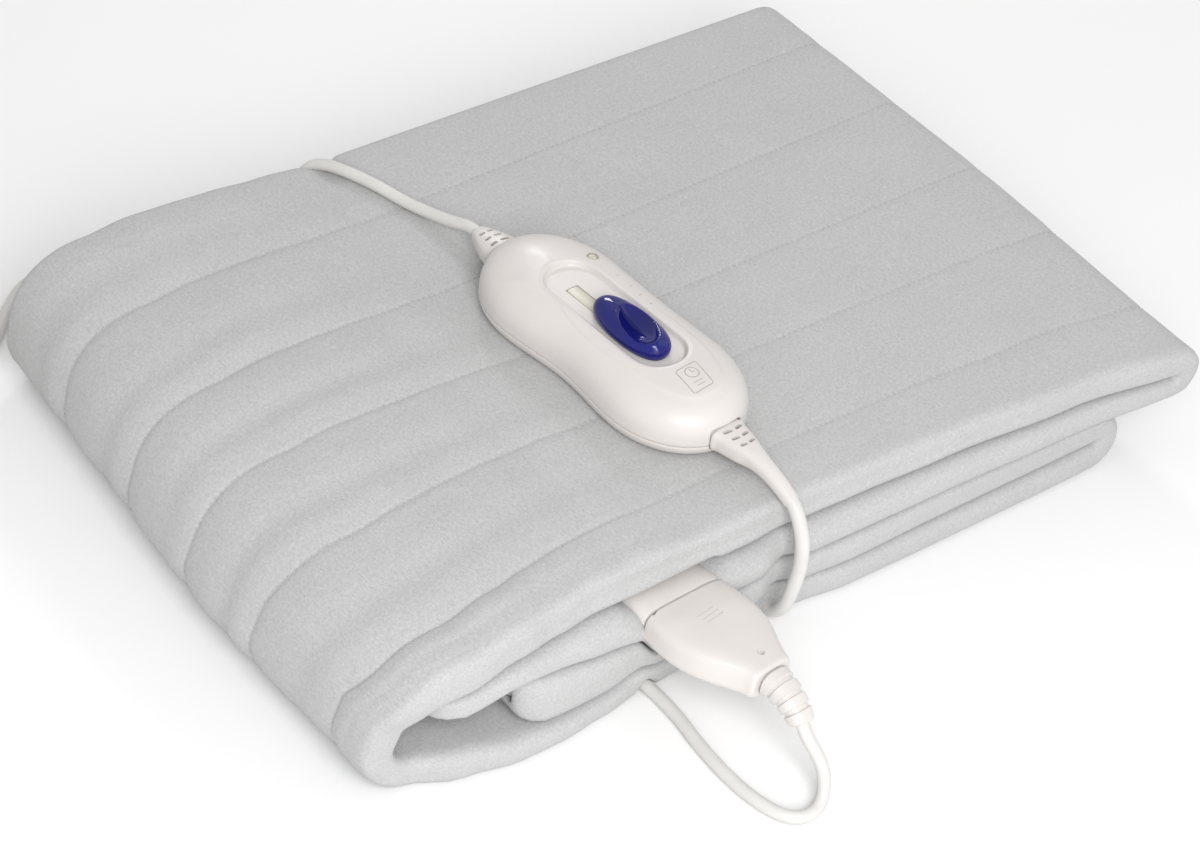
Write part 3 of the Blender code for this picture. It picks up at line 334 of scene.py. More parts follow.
def place(points, matrix):
    """Points turned and moved by a matrix."""
    turn = np.array(matrix.to_3x3())
    return np.asarray(points) @ turn.T + np.array(matrix.translation)


def blend(a, b, t, start, end):
    """Between a, at t = start, and b, at t = end."""
    return (a * (end - t) + b * (t - start)) / (end - start)


def smooth_route(points, steps=16):
    """A smooth curve through points (a centripetal Catmull-Rom spline)."""
    points = [Vector(point) for point in points]
    ends = [2 * points[0] - points[1], *points, 2 * points[-1] - points[-2]]
    curve = []
    for index in range(1, len(ends) - 2):
        near = ends[index - 1 : index + 3]
        times = [0.0]
        for here, there in zip(near, near[1:]):
            times.append(times[-1] + math.sqrt((there - here).length))
        for step in range(steps):
            t = times[1] + (times[2] - times[1]) * step / steps
            sides = [blend(near[i], near[i + 1], t, times[i], times[i + 1]) for i in range(3)]
            first = blend(sides[0], sides[1], t, times[0], times[2])
            last = blend(sides[1], sides[2], t, times[1], times[3])
            curve.append(blend(first, last, t, times[1], times[2]))
    curve.append(points[-1].copy())
    return curve


def smooth_rows(rows, steps=6):
    """A table of three columns, with smooth rows between its own."""
    return np.array([tuple(point) for point in smooth_route(rows, steps)])


def lengths_along(points):
    """How far along a polyline each of its points is."""
    steps = np.linalg.norm(np.diff(points, axis=0), axis=1)
    return np.concatenate(([0.0], np.cumsum(steps)))


def points_at(marks, lengths, line):
    """Points of a polyline at distances along it."""
    return np.stack([np.interp(marks, lengths, column) for column in line.T], axis=1)


def even_points(points, pitch):
    """Points at an even pitch along a polyline."""
    points = np.array([tuple(point) for point in points])
    lengths = lengths_along(points)
    marks = np.linspace(0, lengths[-1], max(2, round(lengths[-1] / pitch) + 1))
    return points_at(marks, lengths, points)


def level_ring(x, y, z):
    """Points (x, y) at one height."""
    return np.stack((x, y, np.full_like(x, z)), axis=1)


def circle_angles(count):
    """The angles of evenly spaced points round a circle."""
    return 2 * np.pi * np.arange(count) / count


def unit_circle(count):
    """Evenly spaced points round a circle."""
    angles = circle_angles(count)
    return list(zip(np.cos(angles), np.sin(angles)))


def joined(parts):
    """Meshes, given as (points, faces), put together as one."""
    vertices, faces = [], []
    for points, polygons in parts:
        faces += [tuple(index + len(vertices) for index in polygon) for polygon in polygons]
        vertices += [tuple(point) for point in points]
    return vertices, faces


def superellipse(half_width, half_height, points, power):
    """Points (across, up) of a rounded rectangle."""
    angles = 2 * np.pi * (np.arange(points) + 0.5) / points
    side, rise = np.cos(angles), np.sin(angles)
    across = half_width * np.sign(side) * np.abs(side) ** (2 / power)
    up = half_height * np.sign(rise) * np.abs(rise) ** (2 / power)
    return across, up


def subtract(piece, cutters, world, sharp):
    """Take closed meshes, given as (points, faces), out of a piece."""
    mesh = bpy.data.meshes.new("cutter")
    vertices, faces = joined((place(points, world), polygons) for points, polygons in cutters)
    mesh.from_pydata(vertices, [], faces)
    guide = add_object("cutter", mesh)
    face_out(guide)
    modifier = piece.modifiers.new("cut", "BOOLEAN")
    modifier.object = guide
    modifier.operation = "DIFFERENCE"
    modifier.solver = "EXACT"
    bpy.context.view_layer.update()
    evaluated = piece.evaluated_get(bpy.context.evaluated_depsgraph_get())
    result = bpy.data.meshes.new_from_object(evaluated)
    piece.modifiers.remove(modifier)
    old = piece.data
    result.name = piece.name
    piece.data = result
    bpy.data.meshes.remove(old)
    bpy.data.objects.remove(guide, do_unlink=True)
    bpy.data.meshes.remove(mesh)
    sharpen(piece, sharp)


def prism(outline, low, high):
    """A closed upright prism over (x, y) points."""
    points = [(x, y, z) for z in (low, high) for x, y in outline]
    return points, ring_faces(2, len(outline))


# --- camera ---


def make_camera():
    """Over the front left corner, looking down at the folded pad."""
    right, up, forward = (Vector(axis) for axis in CAMERA_AXES)
    turn = Matrix((right, up, -forward)).transposed().to_4x4()
    data = bpy.data.cameras.new("camera")
    data.lens = LENS
    data.sensor_width = 36
    data.sensor_fit = "HORIZONTAL"
    data.clip_start = 0.01
    camera = add_object("camera", data)
    camera.matrix_world = Matrix.Translation(CAMERA_AT) @ turn
    bpy.context.scene.camera = camera


# --- materials ---


class Finish:
    """A Principled material, with short calls that add and link its nodes."""

    def __init__(self, name, colour, roughness, **values):
        self.material = bpy.data.materials.new(name)
        self.material.use_nodes = True
        self.tree = self.material.node_tree
        self.shader = self.tree.nodes["Principled BSDF"]
        self.shader.inputs["Base Color"].default_value = (*colour, 1.0)
        self.shader.inputs["Roughness"].default_value = roughness
        for key, value in values.items():
            self.shader.inputs[key.replace("_", " ")].default_value = value
        self.place = self.node("ShaderNodeTexCoord").outputs["Object"]

    def node(self, kind, **settings):
        """A node with its properties and input values set."""
        new = self.tree.nodes.new(kind)
        for key, value in settings.items():
            if hasattr(new, key):
                setattr(new, key, value)
            else:
                new.inputs[key].default_value = value
        return new

    def link(self, source, target):
        """Join two sockets."""
        self.tree.links.new(source, target)

    def noise(self, scale, detail=3.0, roughness=0.55, stretch=None, distortion=0.0):
        """A noise value in object space; stretch scales the place along each axis."""
        texture = self.node(
            "ShaderNodeTexNoise", Scale=scale, Detail=detail, Roughness=roughness, Distortion=distortion
        )
        if stretch is None:
            self.link(self.place, texture.inputs["Vector"])
        else:
            mapping = self.node("ShaderNodeMapping")
            mapping.inputs["Scale"].default_value = stretch
            self.link(self.place, mapping.inputs["Vector"])
            self.link(mapping.outputs["Vector"], texture.inputs["Vector"])
        return texture.outputs["Fac"]

    def ramp(self, source, *stops):
        """Colours by value; each stop is (position, colour)."""
        ramp = self.node("ShaderNodeValToRGB")
        elements = ramp.color_ramp.elements
        while len(elements) < len(stops):
            elements.new(0.5)
        for element, (position, colour) in zip(elements, stops):
            element.position = position
            element.color = (*colour, 1.0)
        self.link(source, ramp.inputs["Fac"])
        return ramp.outputs["Color"]

    def spread(self, source, low, high):
        """The value mapped from 0.3..0.7 to low..high."""
        ends = {"From Min": 0.3, "From Max": 0.7, "To Min": low, "To Max": high}
        mapped = self.node("ShaderNodeMapRange", **ends)
        self.link(source, mapped.inputs["Value"])
        return mapped.outputs["Result"]

    def multiply(self, first, second):
        """Two colours multiplied."""
        mixed = self.node("ShaderNodeMix", data_type="RGBA", blend_type="MULTIPLY")
        mixed.inputs[0].default_value = 1.0
        self.link(first, mixed.inputs[6])
        self.link(second, mixed.inputs[7])
        return mixed.outputs[2]

    def bump(self, height, distance, strength=1.0, below=None):
        """A bump node, on top of another where given."""
        node = self.node("ShaderNodeBump", Distance=distance, Strength=strength)
        self.link(height, node.inputs["Height"])
        if below is not None:
            self.link(below, node.inputs["Normal"])
        return node.outputs["Normal"]

    def feed(self, name, source):
        """Link a value to the shader's own socket."""
        self.link(source, self.shader.inputs[name])
        return self


def fleece_finish():
    """Brushed light-grey fleece: a short matted nap, soft mottling and a faint sheen."""
    finish = Finish(
        "fleece", (0.50, 0.50, 0.50), 0.95, Specular_IOR_Level=0.1, Sheen_Weight=0.12, Sheen_Roughness=0.5
    )
    fine = finish.noise(2400, 2.0, 0.6)
    matted = finish.noise(1100, 3.0, 0.65, stretch=(1.0, 0.6, 1.0), distortion=0.4)
    broad = finish.noise(30, 3.0, 0.5)
    base = finish.ramp(
        matted, (0.28, (0.435, 0.435, 0.436)), (0.50, (0.498, 0.498, 0.499)), (0.74, (0.562, 0.562, 0.562))
    )
    tone = finish.ramp(broad, (0.30, (0.965, 0.965, 0.965)), (0.70, (1.0, 1.0, 1.0)))
    finish.feed("Base Color", finish.multiply(base, tone))
    finish.feed("Roughness", finish.spread(matted, 0.88, 1.0))
    coarse = finish.bump(matted, 0.0004, 0.6)
    finish.feed("Normal", finish.bump(fine, 0.0002, 0.7, coarse))
    return finish.material


def varied_finish(name, colour, roughness, tint, gloss=None, bumps=(), **values):
    """A material whose colour, gloss and grain vary with noise.

    Each of them begins with the noise's own settings. The colours at the ramp's two
    ends follow, or the lowest and highest roughness, or a bump's distance and strength.
    """
    finish = Finish(name, colour, roughness, **values)
    noise, low, high = tint
    finish.feed("Base Color", finish.ramp(finish.noise(*noise), low, high))
    if gloss is not None:
        noise, low, high = gloss
        finish.feed("Roughness", finish.spread(finish.noise(*noise), low, high))
    below = None
    for noise, distance, strength in bumps:
        below = finish.bump(finish.noise(*noise), distance, strength, below)
    if below is not None:
        finish.feed("Normal", below)
    return finish.material


def plastic_finish(name, colour, roughness, vary=0.03, **values):
    """Moulded plastic: even colour, a fine spark-eroded grain and slight gloss changes."""
    low = tuple(max(0.0, channel * (1 - vary)) for channel in colour)
    high = tuple(min(1.0, channel * (1 + vary)) for channel in colour)
    tint = ((45, 2.0), (0.3, low), (0.7, high))
    gloss = ((180, 3.0), roughness * 0.88, roughness * 1.15)
    return varied_finish(name, colour, roughness, tint, gloss, (((2600, 2.0), 0.00002, 0.35),), **values)


def lead_finish():
    """The leads' soft white PVC sheath, a little wavy and dull."""
    tint = ((60, 3.0), (0.3, (0.63, 0.617, 0.595)), (0.7, (0.675, 0.662, 0.64)))
    bumps = (((120, 2.0), 0.0003, 0.3), ((1800, 2.0), 0.00003, 0.4))
    gloss = ((400, 3.0), 0.36, 0.5)
    return varied_finish("lead_pvc", (0.65, 0.635, 0.61), 0.42, tint, gloss, bumps, Specular_IOR_Level=0.4)


def metal_finish():
    """Nickel-plated brass pins with fine draw marks."""
    drawn = (900, 2.0, 0.55, (1.0, 0.06, 1.0))
    tint = (drawn, (0.3, (0.66, 0.63, 0.57)), (0.7, (0.78, 0.75, 0.70)))
    bumps = ((drawn, 0.00003, 0.5),)
    return varied_finish("pin_metal", (0.74, 0.71, 0.66), 0.26, tint, (drawn, 0.2, 0.36), bumps, Metallic=1.0)


def thread_finish():
    """Twisted sewing thread."""
    twist = (1600, 2.0)
    tint = (twist, (0.3, (0.40, 0.40, 0.40)), (0.7, (0.52, 0.52, 0.52)))
    bumps = ((twist, 0.0002, 0.6),)
    return varied_finish("thread", (0.45, 0.45, 0.45), 0.85, tint, None, bumps, Sheen_Weight=0.1)


def ink_and_gap_shade_finish():
    """Pale grey pad printing, a little worn; also the dark ring of painted shade in the gap round the lens.
    """
    tint = ((700, 3.0), (0.35, (0.34, 0.29, 0.27)), (0.75, (0.46, 0.41, 0.39)))
    return varied_finish("print_and_gap_shade_grey", (0.36, 0.30, 0.28), 0.5, tint)


# --- leads ---


def lead_curve(name, points, diameter, finish):
    """A round lead along a polyline."""
    curve = bpy.data.curves.new(name, "CURVE")
    curve.dimensions = "3D"
    curve.bevel_depth = diameter / 2
    curve.bevel_resolution = 5
    curve.use_fill_caps = True
    spline = curve.splines.new("POLY")
    spline.points.add(len(points) - 1)
    for target, point in zip(spline.points, points):
        target.co = (*point, 1.0)
    spline.use_smooth = True
    return add_piece(name, curve, finish, "pad")


def coil_points():
    """The wound length, clockwise: from one place in the coil's section to the next."""
    low, high = COIL_LOW, COIL_LOW + MAINS_LEAD
    outer, middle, inner = COIL_RADIUS + MAINS_LEAD, COIL_RADIUS, COIL_RADIUS - MAINS_LEAD
    places = [(outer, low), (middle, low), (inner, low), (inner, high), (middle, high), (outer, high)]
    total = COIL_TURNS * 360
    points = []
    for step in range(int(total / 6) + 1):
        wound = total * step / int(total / 6)
        radius, height = places[0]
        for turn, (next_radius, next_height) in enumerate(places[1:]):
            share = float(smoothstep((wound - 300 - 325 * turn) / 30))
            radius += (next_radius - radius) * share
            height += (next_height - height) * share
        angle = math.radians(COIL_ENTRY - wound)
        points.append(COIL_CENTRE + Vector((radius * math.cos(angle), radius * math.sin(angle), height)))
    return points


def make_leads(finish, controller, coupler):
    """Both leads, with the unseen length coiled; for each its piece, its exit and its line."""
    front_tip, front_heading = relief_tip(controller, FRONT_RELIEF, -1, RELIEF_DROP)
    back_tip, back_heading = relief_tip(controller, BACK_RELIEF, 1, 0.0)
    thin_tip, thin_heading = coupler_tip(coupler)
    thin = [
        back_tip - back_heading * 3 * MM,
        back_tip + back_heading * 5 * MM,
        *reversed(THIN_ROUTE),
        thin_tip + thin_heading * 4 * MM,
        thin_tip - thin_heading * 3 * MM,
    ]
    thin_line = even_points(smooth_route(thin), LEAD_STEP)
    thin_lead = lead_curve("controller_cord", thin_line, THIN_LEAD, finish)
    mains = [front_tip - front_heading * 4 * MM, front_tip + front_heading * 1.2 * MM, *MAINS_ROUTE]
    line = smooth_route(mains) + coil_points()
    line.append(line[-1] + Vector((0, PLUG_STUB, 0)))
    mains_line = even_points(line, LEAD_STEP)
    mains_lead = lead_curve("mains_cord", mains_line, MAINS_LEAD, finish)
    return (thin_lead, back_tip, thin_line), (mains_lead, front_tip, mains_line)


def relief_axis(distance, sign, drop):
    """A controller relief's middle, at a distance in mm past the shell, and its slope."""
    past = max(0.0, distance * MM - RELIEF_BEND_FROM)
    along = sign * (SHELL_HALF_LENGTH + distance * MM)
    return (0, along, RELIEF_HEIGHT - drop * past * past), 2 * drop * past


def relief_tip(world, sections, sign, drop):
    """The end and heading of a controller strain relief."""
    tip, slope = relief_axis(sections[-1][0], sign, drop)
    return world @ Vector(tip), world.to_3x3() @ Vector((0, sign, -slope)).normalized()


def boot_axis(distance):
    """The coupler relief's middle, at a distance in mm along it, and its way up."""
    bend = math.radians(COUPLER_RELIEF_BEND)
    length = COUPLER_RELIEF[-1][0] * MM
    radius = length / bend
    start = PLUG_BODY[-1][0] * MM + GAP
    angle = bend * distance * MM / length
    middle = (0, -start - radius * math.sin(angle), -radius * (1 - math.cos(angle)))
    return middle, (0, -math.sin(angle), math.cos(angle))


def coupler_tip(world):
    """The end and heading of the coupler's strain relief."""
    tip, up = boot_axis(COUPLER_RELIEF[-1][0])
    return world @ Vector(tip), world.to_3x3() @ Vector((0, -up[2], up[1]))


# --- the pad ---


def run_begins(runs):
    """Where each run begins, and where the last one ends."""
    return np.concatenate(([0.0], np.cumsum([length for length, _ in runs])))


def run_points(start, heading, runs, marks):
    """(u, v, heading) at distances along straight and round runs, end to end."""
    begins = run_begins(runs)
    starts = [(*start, heading)]
    for length, turn in runs:
        starts.append(advance(*starts[-1], length, math.radians(turn), length))
    result = []
    for mark in marks:
        index = min(max(int(np.searchsorted(begins, mark, side="right")) - 1, 0), len(runs) - 1)
        length, turn = runs[index]
        result.append(advance(*starts[index], length, math.radians(turn), mark - begins[index]))
    return np.array(result)


def advance(u, v, heading, length, turn, distance):
    """The state a distance along one run."""
    if turn == 0:
        return u + distance * math.cos(heading), v + distance * math.sin(heading), heading
    radius = length / turn
    new = heading + distance / radius
    return (
        u + radius * (math.sin(new) - math.sin(heading)),
        v - radius * (math.cos(new) - math.cos(heading)),
        new,
    )


def spaced(start, end, pitch):
    """Even marks from start to end, without the end."""
    count = max(1, round(abs(end - start) / pitch))
    return list(np.linspace(start, end, count + 1)[:-1])


def long_runs():
    """The strip's way in the XZ plane, as (length, turn in degrees) runs."""
    side_turn = math.radians(SHOULDER_TURN)
    heel_turn = math.pi - side_turn
    drop = 3 * LAYER_PITCH
    drop -= SHOULDER_RADIUS * (1 - math.cos(side_turn)) + HEEL_RADIUS * (1 - math.cos(heel_turn))
    side = drop / math.sin(side_turn)
    heel_x = SHOULDER_X - SHOULDER_RADIUS * math.sin(side_turn) - side * math.cos(side_turn)
    heel_x += HEEL_RADIUS * math.sin(heel_turn)
    fold = LAYER_PITCH / 2 * math.pi
    return [
        (UPPER_FOLD_X - UPPER_TIP_X, 0),
        (fold, 180),
        (UPPER_FOLD_X - SHOULDER_X, 0),
        (SHOULDER_RADIUS * side_turn, SHOULDER_TURN),
        (side, 0),
        (HEEL_RADIUS * heel_turn, 180 - SHOULDER_TURN),
        (LOWER_FOLD_X - heel_x, 0),
        (fold, 180),
        (LOWER_FOLD_X - LOWER_TIP_X, 0),
    ]


def cross_runs():
    """The strip's own section, folded in three: its runs and where it starts."""
    folds = math.pi * (PLY_PITCH + PLY_PITCH / 2)
    ply = (FLAT_WIDTH - folds + PLY_PITCH / 2 + PLY / 2 - EDGE_STEP_BACK) / 3
    edge_y = FRONT_FOLD_Y + ply - EDGE_STEP_BACK + PLY_PITCH / 2 + PLY / 2
    runs = [
        (edge_y - FRONT_FOLD_Y, 0),
        (PLY_PITCH * math.pi, -180),
        (ply, 0),
        (PLY_PITCH / 2 * math.pi, -180),
        (ply, 0),
    ]
    return runs, edge_y


def layer_marks(start_x, end_x):
    """Distances of the rows along a hidden layer: closer around the socket and leads."""
    low, high = min(start_x, end_x), max(start_x, end_x)
    stops = [low, *LAYER_STOPS, high]
    marks = []
    for here, there, pitch in zip(stops, stops[1:], LAYER_PITCHES):
        if there > low:
            marks += spaced(max(here, low), there, pitch * MM)
    marks = np.array(marks) - low
    return marks if end_x > start_x else (high - low) - marks[::-1]


def row_marks(runs):
    """Where the pad's grid has its rows along the strip, and where its runs begin."""
    begins = run_begins(runs)
    heel_x = LOWER_FOLD_X - runs[6][0]
    close = EDGE_ROUND[-1] + EDGE_NEXT
    marks = [mark for mark in layer_marks(UPPER_TIP_X, UPPER_FOLD_X) if mark >= close]
    marks += spaced(begins[1], begins[2], FOLD_STEP)
    marks += spaced(begins[2], begins[3], TOP_STEP)
    marks += spaced(begins[3], begins[6], SIDE_STEP)
    marks += [begins[6] + mark for mark in layer_marks(heel_x, LOWER_FOLD_X)]
    marks += spaced(begins[7], begins[8], FOLD_STEP)
    inner = [begins[8] + mark for mark in layer_marks(LOWER_FOLD_X, LOWER_TIP_X)]
    marks += [mark for mark in inner if begins[8] < mark <= begins[9] - close]
    marks = [*EDGE_ROUND, close, *marks]
    marks += [begins[8], begins[9] - close] + [begins[9] - mark for mark in reversed(EDGE_ROUND)]
    marks = np.unique(np.round(marks, 6))
    keep = np.concatenate(([True], np.diff(marks) > 0.05 * MM))
    return marks[keep], begins


def column_marks(runs):
    """Where the grid has its columns across the cloth, and where its runs begin."""
    begins = run_begins(runs)
    marks = list(EDGE_ROUND)
    marks += spaced(3.2 * MM, begins[1] - 0.012, 11 * MM)
    marks += spaced(begins[1] - 0.012, begins[1], 3.5 * MM)
    marks += spaced(begins[1], begins[2], 1.1 * MM)
    fine = []
    for seam in SEAMS_RIGHT:
        at = begins[2] + seam - FRONT_FOLD_Y
        fine += [at + side * mark for mark in SEAM_MARKS for side in (-1, 1) if mark or side > 0]
    fine = sorted(fine)
    stops = [begins[2], *fine, begins[3]]
    for here, there in zip(stops, stops[1:]):
        marks += spaced(here, there, 3.4 * MM)
    marks += spaced(begins[3], begins[4], 0.9 * MM)
    marks += spaced(begins[4], begins[4] + 0.012, 3.5 * MM)
    marks += spaced(begins[4] + 0.012, begins[5] - 3.2 * MM, 15 * MM)
    marks += [begins[5] - mark for mark in reversed(EDGE_ROUND)]
    return np.array(marks), begins


def table_at(column, x):
    """A column of the front edge's table, eased between its rows."""
    keys = FRONT_EDGE[:, 0]
    x = np.clip(x, keys[0], keys[-1])
    index = np.clip(np.searchsorted(keys, x) - 1, 0, len(keys) - 2)
    share = smoothstep((x - keys[index]) / (keys[index + 1] - keys[index]))
    values = FRONT_EDGE[:, column] * MM
    return values[index] * (1 - share) + values[index + 1] * share


def arch(x, y, groove_x, diameter):
    """How far the floor side lifts over a lead that runs from front to back."""
    flare = ARCH_FLARE * smoothstep((np.abs(y - 0.004) - 0.100) / 0.030)
    return (diameter + GROOVE_CLEARANCE + flare) * bell(x - groove_x, GROOVE_REACH)


def close_nose(x, z):
    """The height of points once the plies of a free end have closed up to a round nose."""
    for tip_x, middle in ((UPPER_TIP_X, TOP_Z - LAYER_PITCH), (LOWER_TIP_X, BOTTOM_Z + LAYER_PITCH)):
        behind = x - tip_x
        here = (behind > -4 * MM) & (behind < NOSE_REACH) & (np.abs(z - middle) < LAYER_PITCH / 2)
        curve = np.sqrt(np.clip(1 - (1 - np.clip(behind, 0, NOSE_REACH) / NOSE_REACH) ** 2, 0, 1))
        closed = middle + (z - middle) * (NOSE_SHARE + (1 - NOSE_SHARE) * curve)
        z = np.where(here, closed, z)
    return z


def settle(points):
    """Move points of the neatly folded pad to where the soft stack really lies."""
    x, y, z = points[..., 0], points[..., 1], points[..., 2]
    z = close_nose(x, z)
    near = smoothstep((FRONT_Y + EDGE_FADE_OUT - y) / EDGE_FADE_OUT)
    near_up = smoothstep((FRONT_Y + EDGE_FADE_UP - y) / EDGE_FADE_UP)
    layers = BOTTOM_Z + np.arange(4) * LAYER_PITCH
    outs = np.stack([table_at(index + 1, x) for index in range(4)])
    height = np.clip(z, layers[0], layers[-1])
    index = np.clip(((height - layers[0]) / LAYER_PITCH).astype(int), 0, 2)
    share = smoothstep((height - layers[index]) / LAYER_PITCH)
    low = np.take_along_axis(outs, index[None], axis=0)[0]
    high = np.take_along_axis(outs, index[None] + 1, axis=0)[0]
    out = low * (1 - share) + high * share

    lines = BOTTOM_Z + (np.arange(3) + 0.5) * LAYER_PITCH
    slack = LAYER_PITCH / 2 - STRIP_HALF
    levels = [0.0, lines[0], lines[1], lines[2] - slack, lines[2] + slack, STACK_HEIGHT]
    rise = table_at(8, x)
    ups = [table_at(column, x) * near_up for column in (5, 6, 7)]
    none = np.zeros_like(x)
    lifts = [none, ups[0], ups[1], ups[2], ups[2], none]
    groove = arch(x, y, MAINS_GROOVE_X, MAINS_LEAD) * smoothstep((y - ARCH_FROM_Y) / ARCH_RUN)
    groove = groove + arch(x, y, THIN_GROOVE_X, THIN_LEAD)
    heights = [
        level + lift + rise * level / STACK_HEIGHT + groove * max(0.0, 1 - level / GROOVE_FADE)
        for level, lift in zip(levels, lifts)
    ]
    axis_x = SEAM.x - (y - SEAM.y) * math.tan(math.radians(COUPLER_YAW))
    beside = np.abs(x - axis_x) - SOCKET_HALF[0]
    under = smoothstep((DENT_FROM_Y - y) / 0.020)
    shoulder = smoothstep((SHOULDER_REACH - beside) / SHOULDER_REACH) * under
    heights[3] = heights[3] - SHOULDER_DENT * shoulder
    for number, (pressed, begin, run) in enumerate(SOCKET_DENTS, 1):
        dent = smoothstep((begin * MM - beside) / (run * MM)) * under
        heights[number] = heights[number] + dent * (pressed * MM - heights[number])
    new_z = np.zeros_like(z)
    for number in range(5):
        share = (z - levels[number]) / (levels[number + 1] - levels[number])
        value = heights[number] + share * (heights[number + 1] - heights[number])
        here = z > levels[number] if number else np.ones_like(z, bool)
        new_z = np.where(here, value, new_z)

    left = smoothstep((-0.128 - x) / 0.06)
    back_pull = BACK_CORNER_PULL * smoothstep((y - 0.02) / 0.13)
    low_bulge = SIDE_BULGE * bell(y + 0.03, 0.11) * smoothstep((0.045 - z) / 0.03)
    right = smoothstep((x - 0.09) / 0.09) * smoothstep((y - FRONT_Y) / 0.15)
    new_x = x + left * (back_pull - low_bulge) + right * RIGHT_SWELL
    notch = BACK_NOTCH * bell(x - BACK_NOTCH_X, BACK_NOTCH_REACH)
    notch = notch * smoothstep((y - BACK_NOTCH_FROM_Y) / 0.018)
    press = LEAD_PRESS * bell(x - MAINS_GROOVE_X, LEAD_PRESS_REACH) * smoothstep((-0.100 - y) / 0.02)
    press = press * smoothstep(z / 0.008) * smoothstep((LEAD_PRESS_TOP - z) / 0.008)
    new_y = y - out * near - notch * smoothstep(z / 0.03) + press
    new_z = new_z - notch * smoothstep((z - 0.028) / 0.028)
    return np.stack((new_x, new_y, np.maximum(new_z, 0.0)), axis=-1)


def soft_noise(u, v, size, seed):
    """Smooth noise from -1 to 1 over (u, v), with features of about the given size."""
    grid = np.random.default_rng(SEED + seed).uniform(-1, 1, (64, 64))
    u, v = u / size, v / size
    iu, iv = np.floor(u).astype(int), np.floor(v).astype(int)
    fu, fv = smoothstep(u - iu), smoothstep(v - iv)
    ends = []
    for down in (0, 1):
        left, right = (grid[(iu + over) % 64, (iv + down) % 64] for over in (0, 1))
        ends.append(left * (1 - fu) + right * fu)
    return ends[0] * (1 - fv) + ends[1] * fv


def quilting(s, y, leftness, visible):
    """How far the sewn channels stand out or in, for places on the outer ply's face."""
    edges = np.concatenate(([FRONT_Y], SEAMS_RIGHT, [0.1385]))
    index = np.clip(np.searchsorted(edges, y) - 1, 0, len(edges) - 2)
    low, high = edges[index], edges[index + 1]
    nearest = np.min(np.abs(y[..., None] - SEAMS_RIGHT), axis=-1)
    climb = 1 - np.exp(-(high - y) / (CHANNEL_ENDS[0] * MM))
    drop = 1 - np.exp(-(y - low) / (CHANNEL_ENDS[1] * MM))
    climb = np.where(index == len(edges) - 2, 1.0, climb)
    drop = np.where(index == 0, 1.0, drop)
    channel = (CHANNEL_RISE[0] + CHANNEL_RISE[1] * leftness) * MM * (climb * drop - 0.75)
    wander = soft_noise(s * 0.4, low * 3.0, 24 * MM, 5) * 0.05
    share = (high - y) / (high - low) + wander
    lobes = sum(height * bell(share - place, reach) for height, place, reach in LOBES)
    lobes = lobes * (0.12 + 0.88 * leftness) * MM * (0.75 + 0.5 * soft_noise(s * 0.5, low * 7.0, 30 * MM, 6))
    crease = -(0.14 + 0.08 * leftness) * MM * np.exp(-((nearest / (1.1 * MM)) ** 2))
    pucker = soft_noise(s, y * 0.25, 6 * MM, 1) * 0.13 * MM * np.exp(-nearest / (5 * MM))
    waves = soft_noise(s * 0.3, y, 17 * MM, 2) * (0.10 + 0.22 * leftness) * MM
    waves = waves + soft_noise(s * 0.6, y, 37 * MM, 3) * 0.4 * MM
    fine = soft_noise(s, y, 8 * MM, 4) * 0.05 * MM
    fine = fine + soft_noise(s * 0.35, y, 11 * MM, 8) * 0.5 * MM * leftness * smoothstep((y + 0.03) / 0.06)
    return channel + lobes + crease + (pucker + waves * smoothstep(nearest / (9 * MM)) + fine) * visible


def square_front(y, n):
    """Fill the front rolls out until they lie against each other."""
    ahead = np.maximum(FRONT_FOLD_Y - y, 0.0)
    radius = np.hypot(ahead, n) + 1e-9
    side, rise = ahead / radius, np.abs(n) / radius
    swell = (side**FRONT_FILL + rise**FRONT_FILL) ** (-1 / FRONT_FILL)
    swell = np.where(ahead > 0, swell, 1.0)
    return np.where(ahead > 0, FRONT_FOLD_Y - ahead * swell, y), n * swell


